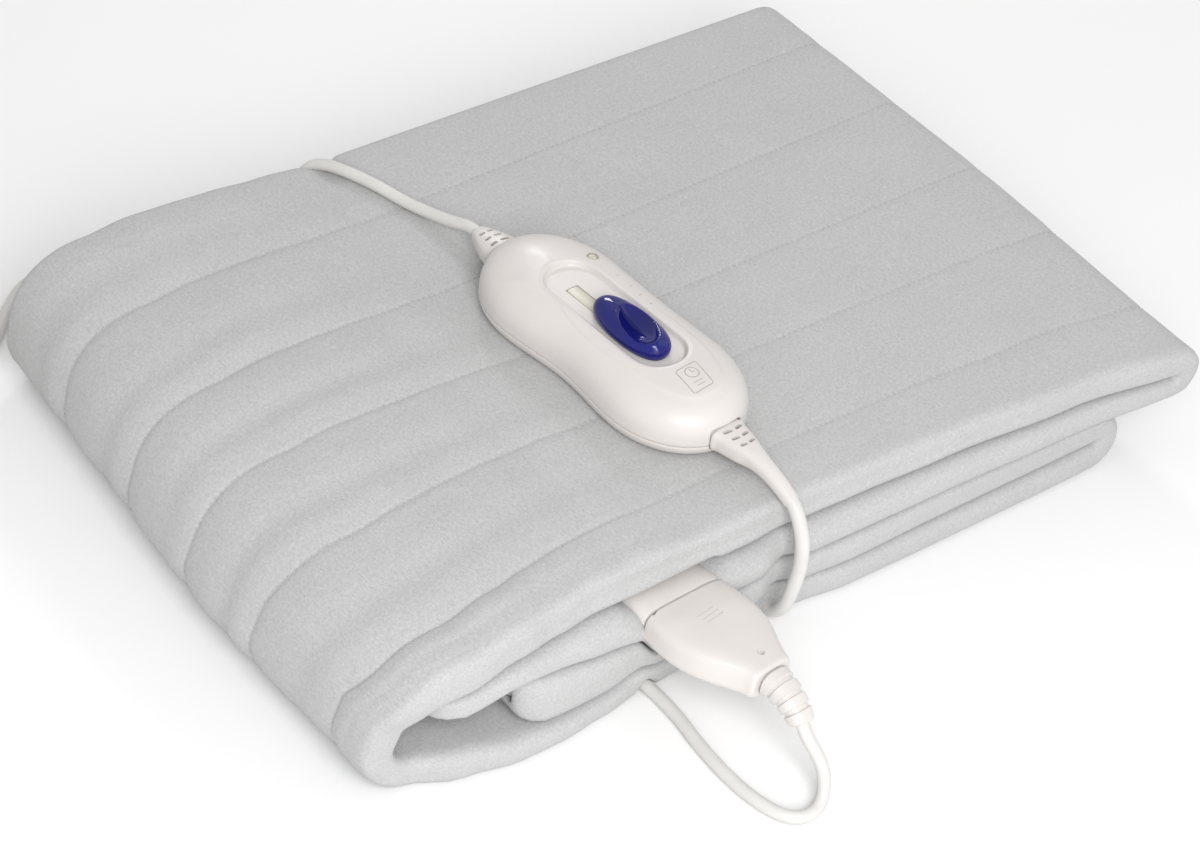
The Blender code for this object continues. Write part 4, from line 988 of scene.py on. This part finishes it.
def fold_fleece():
    """The folded pad: both faces of the cloth on one fine grid, rounded at its edges."""
    runs = long_runs()
    rows, row_begins = row_marks(runs)
    path = run_points((UPPER_TIP_X, TOP_Z - LAYER_PITCH), 0.0, runs, rows)
    section_runs, edge_y = cross_runs()
    columns, column_begins = column_marks(section_runs)
    section = run_points((edge_y, -PLY_PITCH), math.pi, section_runs, columns)
    total_s, total_t = row_begins[-1], column_begins[-1]

    s, t = np.meshgrid(rows, columns, indexing="ij")
    px, pz, heading = (path[:, axis][:, None] for axis in range(3))
    sy, sn, turn = (section[:, axis][None] for axis in range(3))

    edge = np.minimum(np.minimum(s, total_s - s), np.minimum(t, total_t - t))
    reach = EDGE_ROUND[-1]
    half = PLY / 2 * np.sqrt(np.clip(1 - (1 - np.clip(edge / reach, 0, 1)) ** 2, 0, 1))

    on_outer = (t >= column_begins[2]) & (t <= column_begins[3])
    on_top = (s >= row_begins[2]) & (s <= row_begins[3])
    after_top = s > row_begins[3]
    lean = np.where(on_top, (s - row_begins[2]) / (row_begins[3] - row_begins[2]), 0.0)
    lean = np.where(after_top, 1.0, lean)
    keys = np.concatenate(([FRONT_FOLD_Y], SEAMS_RIGHT, [FRONT_FOLD_Y + column_begins[3] - column_begins[2]]))
    moves = np.concatenate(([0.0], SEAMS_LEFT - SEAMS_RIGHT, [0.0]))
    nominal = sy * np.ones_like(s)
    shift = np.where(on_outer, np.interp(nominal, keys, moves) * lean, 0.0)

    leftness = smoothstep((lean - 0.55) / 0.4)
    leftness = leftness * (1 - smoothstep((s - row_begins[5] - 0.012) / 0.02))
    shown = on_top | ((s > row_begins[3]) & (s < row_begins[6]))
    visible = np.where(shown, 1.0, 0.3)
    out = quilting(s, nominal, leftness, visible)
    out = np.where(on_outer, out, 0.0)
    inside = np.minimum(t - column_begins[2], column_begins[3] - t)
    out = out * smoothstep(inside / (6 * MM))
    under = s > row_begins[6] - 0.012
    out = np.where(under & (out > 0), out * 0.1, out)

    corner = np.clip(1 - np.minimum(s, total_s - s) / CORNER_REACH, 0, None)
    vertices = []
    for sign in (1, -1):
        offset = sign * half + (out if sign > 0 else 0.0)
        y = sy + shift - offset * np.sin(turn)
        n = sn + offset * np.cos(turn)
        y, n = square_front(y, n)
        y = y + CORNER_PULL * corner**2 * smoothstep((FRONT_Y + 0.05 - y) / 0.05)
        world = np.stack((px + n * np.sin(heading), y, pz - n * np.cos(heading)), axis=-1)
        vertices.append(settle(world))
    outer, inner = vertices
    return rows, columns, outer, inner, row_begins, column_begins


def weave_mesh(outer, inner):
    """Close the two faces of the cloth into one mesh that shares its rim."""
    rows, columns = outer.shape[:2]
    front = np.arange(rows * columns).reshape(rows, columns)
    back = front + rows * columns
    back[0], back[-1] = front[0], front[-1]
    back[:, 0], back[:, -1] = front[:, 0], front[:, -1]
    faces = []
    for grid, order in ((front, 1), (back, -1)):
        corners = [grid[:-1, :-1], grid[:-1, 1:], grid[1:, 1:], grid[1:, :-1]]
        faces.append(np.stack([corner.ravel() for corner in corners[::order]], axis=1))
    faces = np.concatenate(faces)
    points = np.concatenate((outer.reshape(-1, 3), inner.reshape(-1, 3)))
    used, numbers = np.unique(faces, return_inverse=True)
    return points[used], numbers.reshape(faces.shape)


def stitches_along(line, normals):
    """Stitches along a seam: short threads that dip into the cloth at both ends."""
    lengths = lengths_along(line)
    threads = []
    for start in np.arange(STITCH_PITCH, lengths[-1] - STITCH_PITCH, STITCH_PITCH):
        marks = start + np.array((0.0, 0.18, 0.5, 0.82, 1.0)) * STITCH_PITCH * STITCH_SHARE
        centre = points_at(marks, lengths, line)
        up = points_at(marks, lengths, normals)
        up /= np.linalg.norm(up, axis=1)[:, None]
        along = centre[-1] - centre[0]
        along /= np.linalg.norm(along) + 1e-12
        side = np.cross(along, up)
        side /= np.linalg.norm(side, axis=1)[:, None] + 1e-12
        points = []
        for ring, (lift, width) in enumerate(STITCH_RINGS):
            middle = centre[ring] + up[ring] * (lift * STITCH_RADIUS)
            for angle in circle_angles(5):
                turned = math.cos(angle) * side[ring] + math.sin(angle) * up[ring]
                points.append(middle + width * STITCH_RADIUS * turned)
        threads.append((points, ring_faces(5, 5)))
    return threads


def make_pad(finish, thread):
    """The quilted fleece and the stitches of its seams."""
    rows, columns, outer, inner, row_begins, column_begins = fold_fleece()
    points, faces = weave_mesh(outer, inner)
    pad = add_mesh("quilted_fleece", points, faces, finish, "pad", "fleece")
    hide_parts("pad")

    normal = np.cross(np.gradient(outer, axis=1), np.gradient(outer, axis=0))
    normal /= np.linalg.norm(normal, axis=-1)[..., None] + 1e-12
    shown = (rows > row_begins[2] - 0.011) & (rows < row_begins[6] + 0.01)
    threads = []
    for seam in SEAMS_RIGHT:
        column = int(np.argmin(np.abs(columns - (column_begins[2] + seam - FRONT_FOLD_Y))))
        threads += stitches_along(outer[shown, column], normal[shown, column])
    thread_piece = add_mesh("seam_stitches", *joined(threads), thread, "pad", "fleece")


# --- the controller ---


def shell_half_width(y, side):
    """The outline's half width at y: two round lobes and a slight waist."""
    past = np.clip((np.abs(y) - LOBE_CENTRE) / (SHELL_HALF_LENGTH - LOBE_CENTRE), 0, 1)
    waist = np.where(side > 0, WAIST_RIGHT, WAIST_LEFT)
    lobes = SHELL_HALF_WIDTH * np.sqrt(np.clip(1 - past**2, 0, 1))
    return lobes - np.where(past > 0, 0.0, waist * bell(y, LOBE_CENTRE))


def shell_ring(height, inset):
    """The outline, drawn in by the inset, at a height."""
    angle = circle_angles(SHELL_POINTS)
    y = SHELL_HALF_LENGTH * np.cos(angle)
    side = np.where(np.sin(angle) >= 0, 1, -1)
    x = side * shell_half_width(y, side) * (1 - inset / SHELL_HALF_WIDTH)
    x[[0, SHELL_POINTS // 2]] = 0.0
    return level_ring(x, y * (1 - inset / SHELL_HALF_LENGTH), height)


COVER_CURVE = smooth_rows([(inset, 0, z) for z, inset in COVER_SECTIONS]) * MM


def cover_height(x, y):
    """The cover's surface over a place in plan, before its recess."""
    side = np.where(x >= 0, 1, -1)
    low, high = np.zeros_like(x), np.full_like(x, 27.9 * MM)
    for _ in range(40):
        middle = (low + high) / 2
        width = shell_half_width(y / (1 - middle / SHELL_HALF_LENGTH), side)
        inside = np.abs(x) < width * (1 - middle / SHELL_HALF_WIDTH)
        inside &= np.abs(y) < SHELL_HALF_LENGTH - middle
        low, high = np.where(inside, middle, low), np.where(inside, high, middle)
    inset = np.clip(low, 0, COVER_CURVE[-1, 0])
    return np.interp(inset, COVER_CURVE[:, 0], COVER_CURVE[:, 2])


def contour_step(x, y):
    """The low step of the raised panel: clear at the left and front, fading at the right."""
    flare = 9.5 * MM * np.clip((y - 20 * MM) / (20 * MM), 0, 1) ** 2 * (x < 0)
    across = np.abs(x + 0.6 * MM) / (17.0 * MM + flare)
    along = np.abs(np.minimum(y, 16 * MM) + 14.5 * MM) / (40.8 * MM)
    outside = ((across**2.5 + along**2.5) ** 0.4 - 1) * 17 * MM
    step = 0.5 * MM * smoothstep(0.5 - outside / (1.0 * MM)) * np.exp(np.minimum(outside, 0) / (5 * MM))
    fade = np.where(x > 0, smoothstep((-2 * MM - y) / (20 * MM)), smoothstep((44 * MM - y) / (9 * MM)))
    return step * fade


def stadium(offset):
    """The recess's outline in plan, drawn out by the offset."""
    angle = circle_angles(SHELL_POINTS)
    middle = (RECESS_BACK + RECESS_FRONT) / 2
    half = (RECESS_BACK - RECESS_FRONT) / 2
    straight = half - RECESS_HALF_WIDTH
    y = half * np.cos(angle)
    side = np.where(np.sin(angle) >= 0, 1.0, -1.0)
    past = np.clip(np.abs(y) - straight, 0, RECESS_HALF_WIDTH)
    x = side * np.sqrt(np.clip(RECESS_HALF_WIDTH**2 - past**2, 0, None))
    nx = np.where(past > 0, x / RECESS_HALF_WIDTH, side)
    ny = np.where(past > 0, np.sign(y) * past / RECESS_HALF_WIDTH, 0.0)
    return x + nx * offset, y + middle + ny * offset


def make_cover(finish, world):
    """The upper shell: a domed skin with the slider's recess let into it."""
    rings = [shell_ring(5.8 * MM, 6 * MM), shell_ring(5.8 * MM, 0.45 * MM), shell_ring(5.86 * MM, 0.16 * MM)]
    for inset, _, z in COVER_CURVE:
        if z > 6.2 * MM and inset < 3.7 * MM:
            rings.append(shell_ring(z, inset))
    last = rings[-1]
    edge_x, edge_y = stadium(2.6 * MM)
    for share in np.linspace(0, 1, 36)[1:]:
        x = last[:, 0] * (1 - share) + edge_x * share
        y = last[:, 1] * (1 - share) + edge_y * share
        rings.append(np.stack((x, y, cover_height(x, y) + contour_step(x, y)), axis=1))
    wall = (
        (2.0, 0.005), (1.6, 0.02), (1.25, 0.07), (1.0, 0.16), (0.8, 0.30), (0.62, 0.48), (0.45, 0.66),
        (0.25, 0.82), (0.0, 0.93), (-0.35, 0.99), (-0.9, 1.0), (-2.2, 1.0), (-4.4, 1.0), (-7.0, 1.0),
        (-9.4, 1.0),
    )
    for offset, fall in wall:
        x, y = stadium(offset * MM)
        top = cover_height(x, y)
        rings.append(np.stack((x, y, top + (RECESS_FLOOR - top) * fall), axis=1))
    cover = loft("controller_top_shell", rings, world, finish, 38)
    low, high = WINDOW_X - WINDOW_HALF_WIDTH - GAP, WINDOW_X + WINDOW_HALF_WIDTH + GAP
    pocket = prism(
        [(low, WINDOW_FRONT), (high, WINDOW_FRONT), (high, WINDOW_BACK + GAP), (low, WINDOW_BACK + GAP)],
        RECESS_FLOOR - WINDOW_DEPTH - GAP,
        RECESS_FLOOR + 1 * MM,
    )
    radius = INDICATOR_RADIUS + GAP
    hole = [(INDICATOR_AT[0] + radius * c, INDICATOR_AT[1] + radius * d) for c, d in unit_circle(32)]
    subtract(cover, (pocket, prism(hole, 16 * MM, 26 * MM), *relief_pockets()), world, 34)
    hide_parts("controller_cover")
    return cover


def relief_pockets():
    """The openings at both ends, where the strain reliefs come out."""
    pockets = []
    across, up = superellipse(RELIEF_POCKET[0], RELIEF_POCKET[1], 40, 5)
    for sign in (1, -1):
        points = []
        for along in (SHELL_HALF_LENGTH - 7.8 * MM, SHELL_HALF_LENGTH + 6 * MM):
            points += [(x, sign * along, RELIEF_HEIGHT + z) for x, z in zip(across, up)]
        pockets.append((points, ring_faces(2, 40)))
    return pockets


def make_base(finish, world):
    """The lower shell, with its rounded foot."""
    sections = (
        (0.0, 9.0), (0.0, 4.4), (0.12, 3.6), (0.5, 2.6), (1.0, 1.75), (1.6, 1.2), (2.4, 0.75), (3.2, 0.4),
        (4.3, 0.1), (5.1, 0.0), (5.4, 0.12), (5.5, 0.42), (5.5, 6.0),
    )
    rings = [shell_ring(z * MM, inset * MM) for z, inset in sections]
    base = loft("controller_bottom_shell", rings, world, finish, 38)
    subtract(base, relief_pockets(), world, 34)
    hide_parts("controller_base")
    return base


def bent_ring(middle, up, half_width, half_height, points, power):
    """A relief's rounded section, level across; its half sizes are in mm."""
    across, rise = superellipse(half_width * MM, half_height * MM, points, power)
    return np.array(middle) + across[:, None] * np.array((1, 0, 0)) + rise[:, None] * np.array(up)


def make_controller_relief(name, node, sections, sign, drop, finish, world):
    """A strain relief at one end of the controller, with its rows of slots."""
    rings = []
    for distance, half_width, half_height in (*sections[:3], *smooth_rows(sections[3:], 5)):
        middle, slope = relief_axis(distance, sign, drop)
        up = Vector((0, sign * slope, 1)).normalized()
        power = 3.4 - 1.0 * float(smoothstep((distance - 12) / 8))
        rings.append(bent_ring(middle, up, half_width, half_height, 48, power))
    relief = loft(name, rings, world, finish, 30)
    cutters = []
    for number, row in enumerate(SLOT_ROWS):
        for side in (-1, 1):
            width = 1.25 * SLOT_SIZE[0] / 2 * (1 - 0.1 * number)
            angles = 2 * np.pi * (np.arange(16) + 0.5) / 16
            ends = (width - SLOT_SIZE[1] / 2) * np.sign(np.cos(angles))
            xs = side * (2.7 - 0.35 * number) * MM + ends + SLOT_SIZE[1] / 2 * np.cos(angles)
            bow = -0.5 * MM * (xs / (4 * MM)) ** 2
            ys = sign * (SHELL_HALF_LENGTH + row + bow) + SLOT_SIZE[1] / 2 * np.sin(angles)
            cutters.append(prism(list(zip(xs, ys)), RELIEF_HEIGHT + 2.2 * MM, RELIEF_HEIGHT + 8 * MM))
    subtract(relief, cutters, world, 30)
    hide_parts(node)
    return relief


def make_slider(finish, world):
    """The glossy selector: a dome with an oval thumb dish and a crescent lip."""
    curve = smooth_rows([(inset, 0, z) for z, inset in SLIDER_SECTIONS], 5) * MM
    middle = (SLIDER_FRONT + SLIDER_BACK) / 2
    half_length = (SLIDER_BACK - SLIDER_FRONT) / 2
    angle = circle_angles(120)
    along, across = np.cos(angle), np.sin(angle)
    edge_x = SLIDER_HALF_WIDTH * (1 - 0.05 * along) * np.sign(across) * np.abs(across) ** 0.86
    edge_y = half_length * np.sign(along) * np.abs(along) ** 0.92
    rings = [(4.0 * MM, 0.3 * MM)] + [(inset, z) for inset, _, z in curve]
    top = rings[-1]
    for inset in np.arange(top[0] + 0.3 * MM, SLIDER_HALF_WIDTH - 0.1 * MM, 0.3 * MM):
        past = (inset - top[0]) / (SLIDER_HALF_WIDTH - top[0])
        rings.append((inset, top[1] + 0.25 * MM * past))
    points = []
    for inset, z in rings:
        x = SLIDER_X + edge_x * (1 - inset / SLIDER_HALF_WIDTH)
        y = middle + edge_y * (1 - inset / half_length)
        points.append(level_ring(x, y, z))
    for ring in points[1:]:
        dx, dy = ring[:, 0] - DISH_AT[0], ring[:, 1] - DISH_AT[1]
        u = (dx * math.cos(DISH_TILT) - dy * math.sin(DISH_TILT)) / DISH_HALF[0]
        v = (dx * math.sin(DISH_TILT) + dy * math.cos(DISH_TILT)) / DISH_HALF[1]
        radius = np.sqrt(u * u + v * v)
        dish = DISH_DEPTH * np.clip(1 - radius**2, 0, 1) ** 0.75
        crescent = 0.3 + 0.7 * np.clip(-(0.8 * u + 0.6 * v) / np.maximum(radius, 1e-6), 0, 1)
        lip = 0.8 * MM * crescent * np.exp(-(((radius - 1.1) / 0.12) ** 2))
        lip *= smoothstep((ring[:, 2] - 5.0 * MM) / (1.2 * MM))
        high = smoothstep((ring[:, 2] - 3.0 * MM) / (2.0 * MM))
        ring[:, 2] = ring[:, 2] + lip - dish * high
    points = [ring + np.array((0, 0, RECESS_FLOOR)) for ring in points]
    slider = loft("heat_slider", points, world, finish, 50, "blue_plastic", "slider")
    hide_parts("slider")
    return slider


def make_window(finish, world):
    """The strip beside the slider, with a bevelled rim."""
    low, high = WINDOW_X - WINDOW_HALF_WIDTH, WINDOW_X + WINDOW_HALF_WIDTH
    middle = (WINDOW_BACK + WINDOW_FRONT) / 2
    rings = []
    for z, inset in ((-WINDOW_DEPTH, 0.0), (-0.35 * MM, 0.0), (-0.15 * MM, 0.08 * MM), (-0.1 * MM, 0.3 * MM)):
        half_length = (WINDOW_BACK - WINDOW_FRONT) / 2 - inset
        across, along = superellipse(WINDOW_HALF_WIDTH - inset, half_length, 48, 14)
        rings.append(level_ring((low + high) / 2 + across, middle + along, RECESS_FLOOR + z))
    window = loft("setting_strip", rings, world, finish, 30, "window_plastic")
    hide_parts("setting_window")
    return window


def make_indicator(finish, world):
    """The small domed lens."""
    rings = []
    angle = circle_angles(32)
    for radius, z in (
        (2.0, 16.4), (2.0, 20.7), (1.92, 20.95), (1.7, 21.15), (1.3, 21.3), (0.8, 21.42), (0.3, 21.49),
    ):
        x = INDICATOR_AT[0] + radius * MM * np.cos(angle)
        y = INDICATOR_AT[1] + radius * MM * np.sin(angle)
        rings.append(level_ring(x, y, z * MM))
    lens = loft("indicator_lens", rings, world, finish, 50, "window_plastic")
    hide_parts("indicator")
    return lens


def stroke(points, width, rise=0.03 * MM):
    """A printed line over the cover: a closed thin band along (x, y) points in mm."""
    line = np.array(points, float) * MM
    lengths = lengths_along(line)
    marks = np.linspace(0, lengths[-1], max(2, int(lengths[-1] / (0.5 * MM)) + 1))
    line = points_at(marks, lengths, line)
    along = np.gradient(line, axis=0)
    along /= np.linalg.norm(along, axis=1)[:, None] + 1e-12
    side = np.stack((-along[:, 1], along[:, 0]), axis=1) * width * MM / 2
    left, right = line + side, line - side
    rings = []
    for a, b in zip(left, right):
        x, y = np.array((a[0], b[0], b[0], a[0])), np.array((a[1], b[1], b[1], a[1]))
        z = cover_height(x, y) + contour_step(x, y) + np.array((rise, rise, -rise, -rise))
        rings += [tuple(point) for point in np.stack((x, y, z), axis=1)]
    return rings, ring_faces(len(line), 4)


def circle(middle, radius):
    """Points of a closed circle, in mm."""
    angles = np.radians(np.linspace(0, 360, 41))
    return [(middle[0] + radius * math.cos(a), middle[1] + radius * math.sin(a)) for a in angles]


def make_print_and_gap_shade(finish, world):
    """The pad-printed timer sign and the scale's marks, and a dark grey ring of painted shade that lines the
    gap round the lens.
    """
    corners = [np.array(corner) for corner in SIGN_CORNERS]
    box = []
    for index, here in enumerate(corners):
        before, after = corners[index - 1], corners[(index + 1) % 4]
        inward = before + after - 2 * here
        for target, share in ((before, 1.0), (before, 0.35), (after, 0.35), (after, 1.0)):
            step = (target - here) / np.linalg.norm(target - here)
            bow = 0.12 * inward / np.linalg.norm(inward) if share < 1 else 0
            box.append(tuple(here + step * 1.2 * share + bow))
    box.append(box[0])
    lines = [stroke(box, 0.34), stroke(circle(CLOCK_AT, CLOCK_RADIUS), 0.36)]
    lines += [stroke(line, 0.26) for line in SIGN_LINES]
    for x, y, length in SCALE_MARKS:
        lines.append(stroke([(x - length / 2, y), (x + length / 2, y)], 0.32))
    # a dark ring of painted shade, lining the gap between the lens and the cover's hole
    ring = []
    for radius, z in LENS_GAP_SHADE:
        for x, y in circle((INDICATOR_AT[0] / MM, INDICATOR_AT[1] / MM), radius)[:-1]:
            ring.append((x * MM, y * MM, z * MM))
    last = [(160 + i, 160 + (i + 1) % 40, (i + 1) % 40, i) for i in range(40)]
    lines.append((ring, ring_faces(5, 40, closed=False) + last))
    vertices, faces = joined((place(points, world), faces) for points, faces in lines)
    marks = add_mesh("controller_print_and_gap_shade", vertices, faces, finish, "pad", "ivory_plastic")
    face_out(marks)
    sharpen(marks, 40)
    return marks


# --- the coupler ---


def slit(middle, length, width, degrees, low, high):
    """A lens-shaped upright cutter, in mm, turned from the X axis."""
    outline = []
    turn = math.radians(degrees)
    for angle in 2 * np.pi * (np.arange(20) + 0.5) / 20:
        x, y = length / 2 * math.cos(angle), width / 2 * math.sin(angle)
        across = (middle[0] + x * math.cos(turn) - y * math.sin(turn)) * MM
        outline.append((across, (middle[1] + x * math.sin(turn) + y * math.cos(turn)) * MM))
    return prism(outline, low * MM, high * MM)


def coupler_ring(distance, half_width, half_height):
    """A section across the coupler, at a distance in front of its seam, in mm."""
    across, up = superellipse(half_width * MM, half_height * MM, 120, 4.5)
    return np.stack((across, np.full_like(across, -distance * MM), up), axis=1)


def make_coupler(finish, world):
    """The plug, its ribbed relief, and the socket that it sits in."""
    rings = [coupler_ring(*row) for row in (PLUG_BODY[0], *smooth_rows(PLUG_BODY[1:], 5))]
    plug = loft("coupler_body", rings, world, finish, 34)
    cutters = [slit((-15.6, -0.7), 4.2, 1.1, 25, 4.5, 9.0)]
    for number in range(3):
        cutters.append(slit((0.6 * number - 1.4, -11.6 - 2.1 * number), 9.5, 0.6, 5, 7.0, 9.0))
    bowl = []
    for z, radius in DIMPLE:
        bowl += [((0.5 + radius * c) * MM, (-38 + radius * d) * MM, z * MM) for c, d in unit_circle(20)]
    cutters.append((bowl, ring_faces(5, 20)))
    subtract(plug, cutters, world, 34)
    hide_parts("coupler_plug")

    rings = []
    for distance, half_width, half_height in COUPLER_RELIEF:
        rings.append(bent_ring(*boot_axis(distance), half_width, half_height, 40, 2.6))
    relief = loft("coupler_boot", rings, world, finish, 30)
    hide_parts("coupler_relief")

    width, height, length = SOCKET_HALF[0] / MM, SOCKET_HALF[1] / MM, SOCKET_LENGTH / MM
    sections = (
        (-length, width - 1.8, height - 1.4), (-length + 1.2, width - 0.6, height - 0.3),
        (-length * 0.5, width, height), (-0.8, width, height), (-0.3, width - 0.2, height - 0.15),
        (0.0, width - 0.7, height - 0.6),
    )
    socket = loft("coupler_mouth", [coupler_ring(*row) for row in sections], world, finish, 34)
    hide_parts("coupler_socket")
    return plug, relief


# --- stage ---


def make_stage():
    """A plain pale floor, soft daylight all round and four area lights."""
    tint = ((3, 2.0), (0.3, (0.89, 0.89, 0.89)), (0.7, (0.91, 0.91, 0.91)))
    finish = varied_finish("floor", (0.90, 0.90, 0.90), 0.8, tint, Specular_IOR_Level=0.2)
    shape = bmesh.new()
    bmesh.ops.create_grid(shape, x_segments=8, y_segments=8, size=6.0)
    mesh = bpy.data.meshes.new("floor")
    shape.to_mesh(mesh)
    shape.free()
    floor = add_object("floor", mesh)
    mesh.materials.append(finish)
    floor.location.z = -0.2 * MM

    world = bpy.data.worlds.new("studio")
    world.use_nodes = True
    background = world.node_tree.nodes["Background"].inputs
    background["Color"].default_value = (1.0, 1.0, 1.0, 1.0)
    background["Strength"].default_value = DAYLIGHT
    bpy.context.scene.world = world
    for name, at, power, size in LIGHTS:
        data = bpy.data.lights.new(name, "AREA")
        data.energy = power
        data.size = size
        light = add_object(name, data)
        light.location = at
        light.rotation_euler = (-Vector(at)).to_track_quat("-Z", "Y").to_euler()
    bpy.context.scene.view_settings.view_transform = "Standard"


# --- the whole ---


make_camera()
CONTROLLER = Matrix.Translation(CONTROLLER_AT) @ Matrix.Rotation(math.radians(CONTROLLER_YAW), 4, "Z")
COUPLER = (
    Matrix.Translation(SEAM)
    @ Matrix.Rotation(math.radians(COUPLER_YAW), 4, "Z")
    @ Matrix.Rotation(math.radians(COUPLER_ROLL), 4, "Y")
)
LEAD = lead_finish()
IVORY = plastic_finish("ivory_plastic", (0.66, 0.625, 0.60), 0.34, 0.015, Specular_IOR_Level=0.4)
BLUE = plastic_finish("blue_plastic", (0.004, 0.006, 0.135), 0.12, 0.15, Specular_IOR_Level=0.5)
STRIP = plastic_finish("window_plastic", (0.52, 0.50, 0.41), 0.28, 0.05)
METAL = metal_finish()
thin_lead, mains_lead = make_leads(LEAD, CONTROLLER, COUPLER)
plug_body, plug_relief = make_coupler(IVORY, COUPLER)
for node in ("mains_plug", "mains_pin_1", "mains_pin_2"):
    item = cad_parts[node]
    item.data.materials.clear()
    item.data.materials.append(IVORY if node == "mains_plug" else METAL)
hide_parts("controller_lead")
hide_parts("mains_lead", "mains_coil")
make_pad(fleece_finish(), thread_finish())
make_base(IVORY, CONTROLLER)
make_cover(IVORY, CONTROLLER)
make_controller_relief("front_boot", "relief_front", FRONT_RELIEF, -1, RELIEF_DROP, IVORY, CONTROLLER)
make_controller_relief("back_boot", "relief_back", BACK_RELIEF, 1, 0.0, IVORY, CONTROLLER)
make_slider(BLUE, CONTROLLER)
make_window(STRIP, CONTROLLER)
make_indicator(STRIP, CONTROLLER)
make_print_and_gap_shade(ink_and_gap_shade_finish(), CONTROLLER)
make_stage()
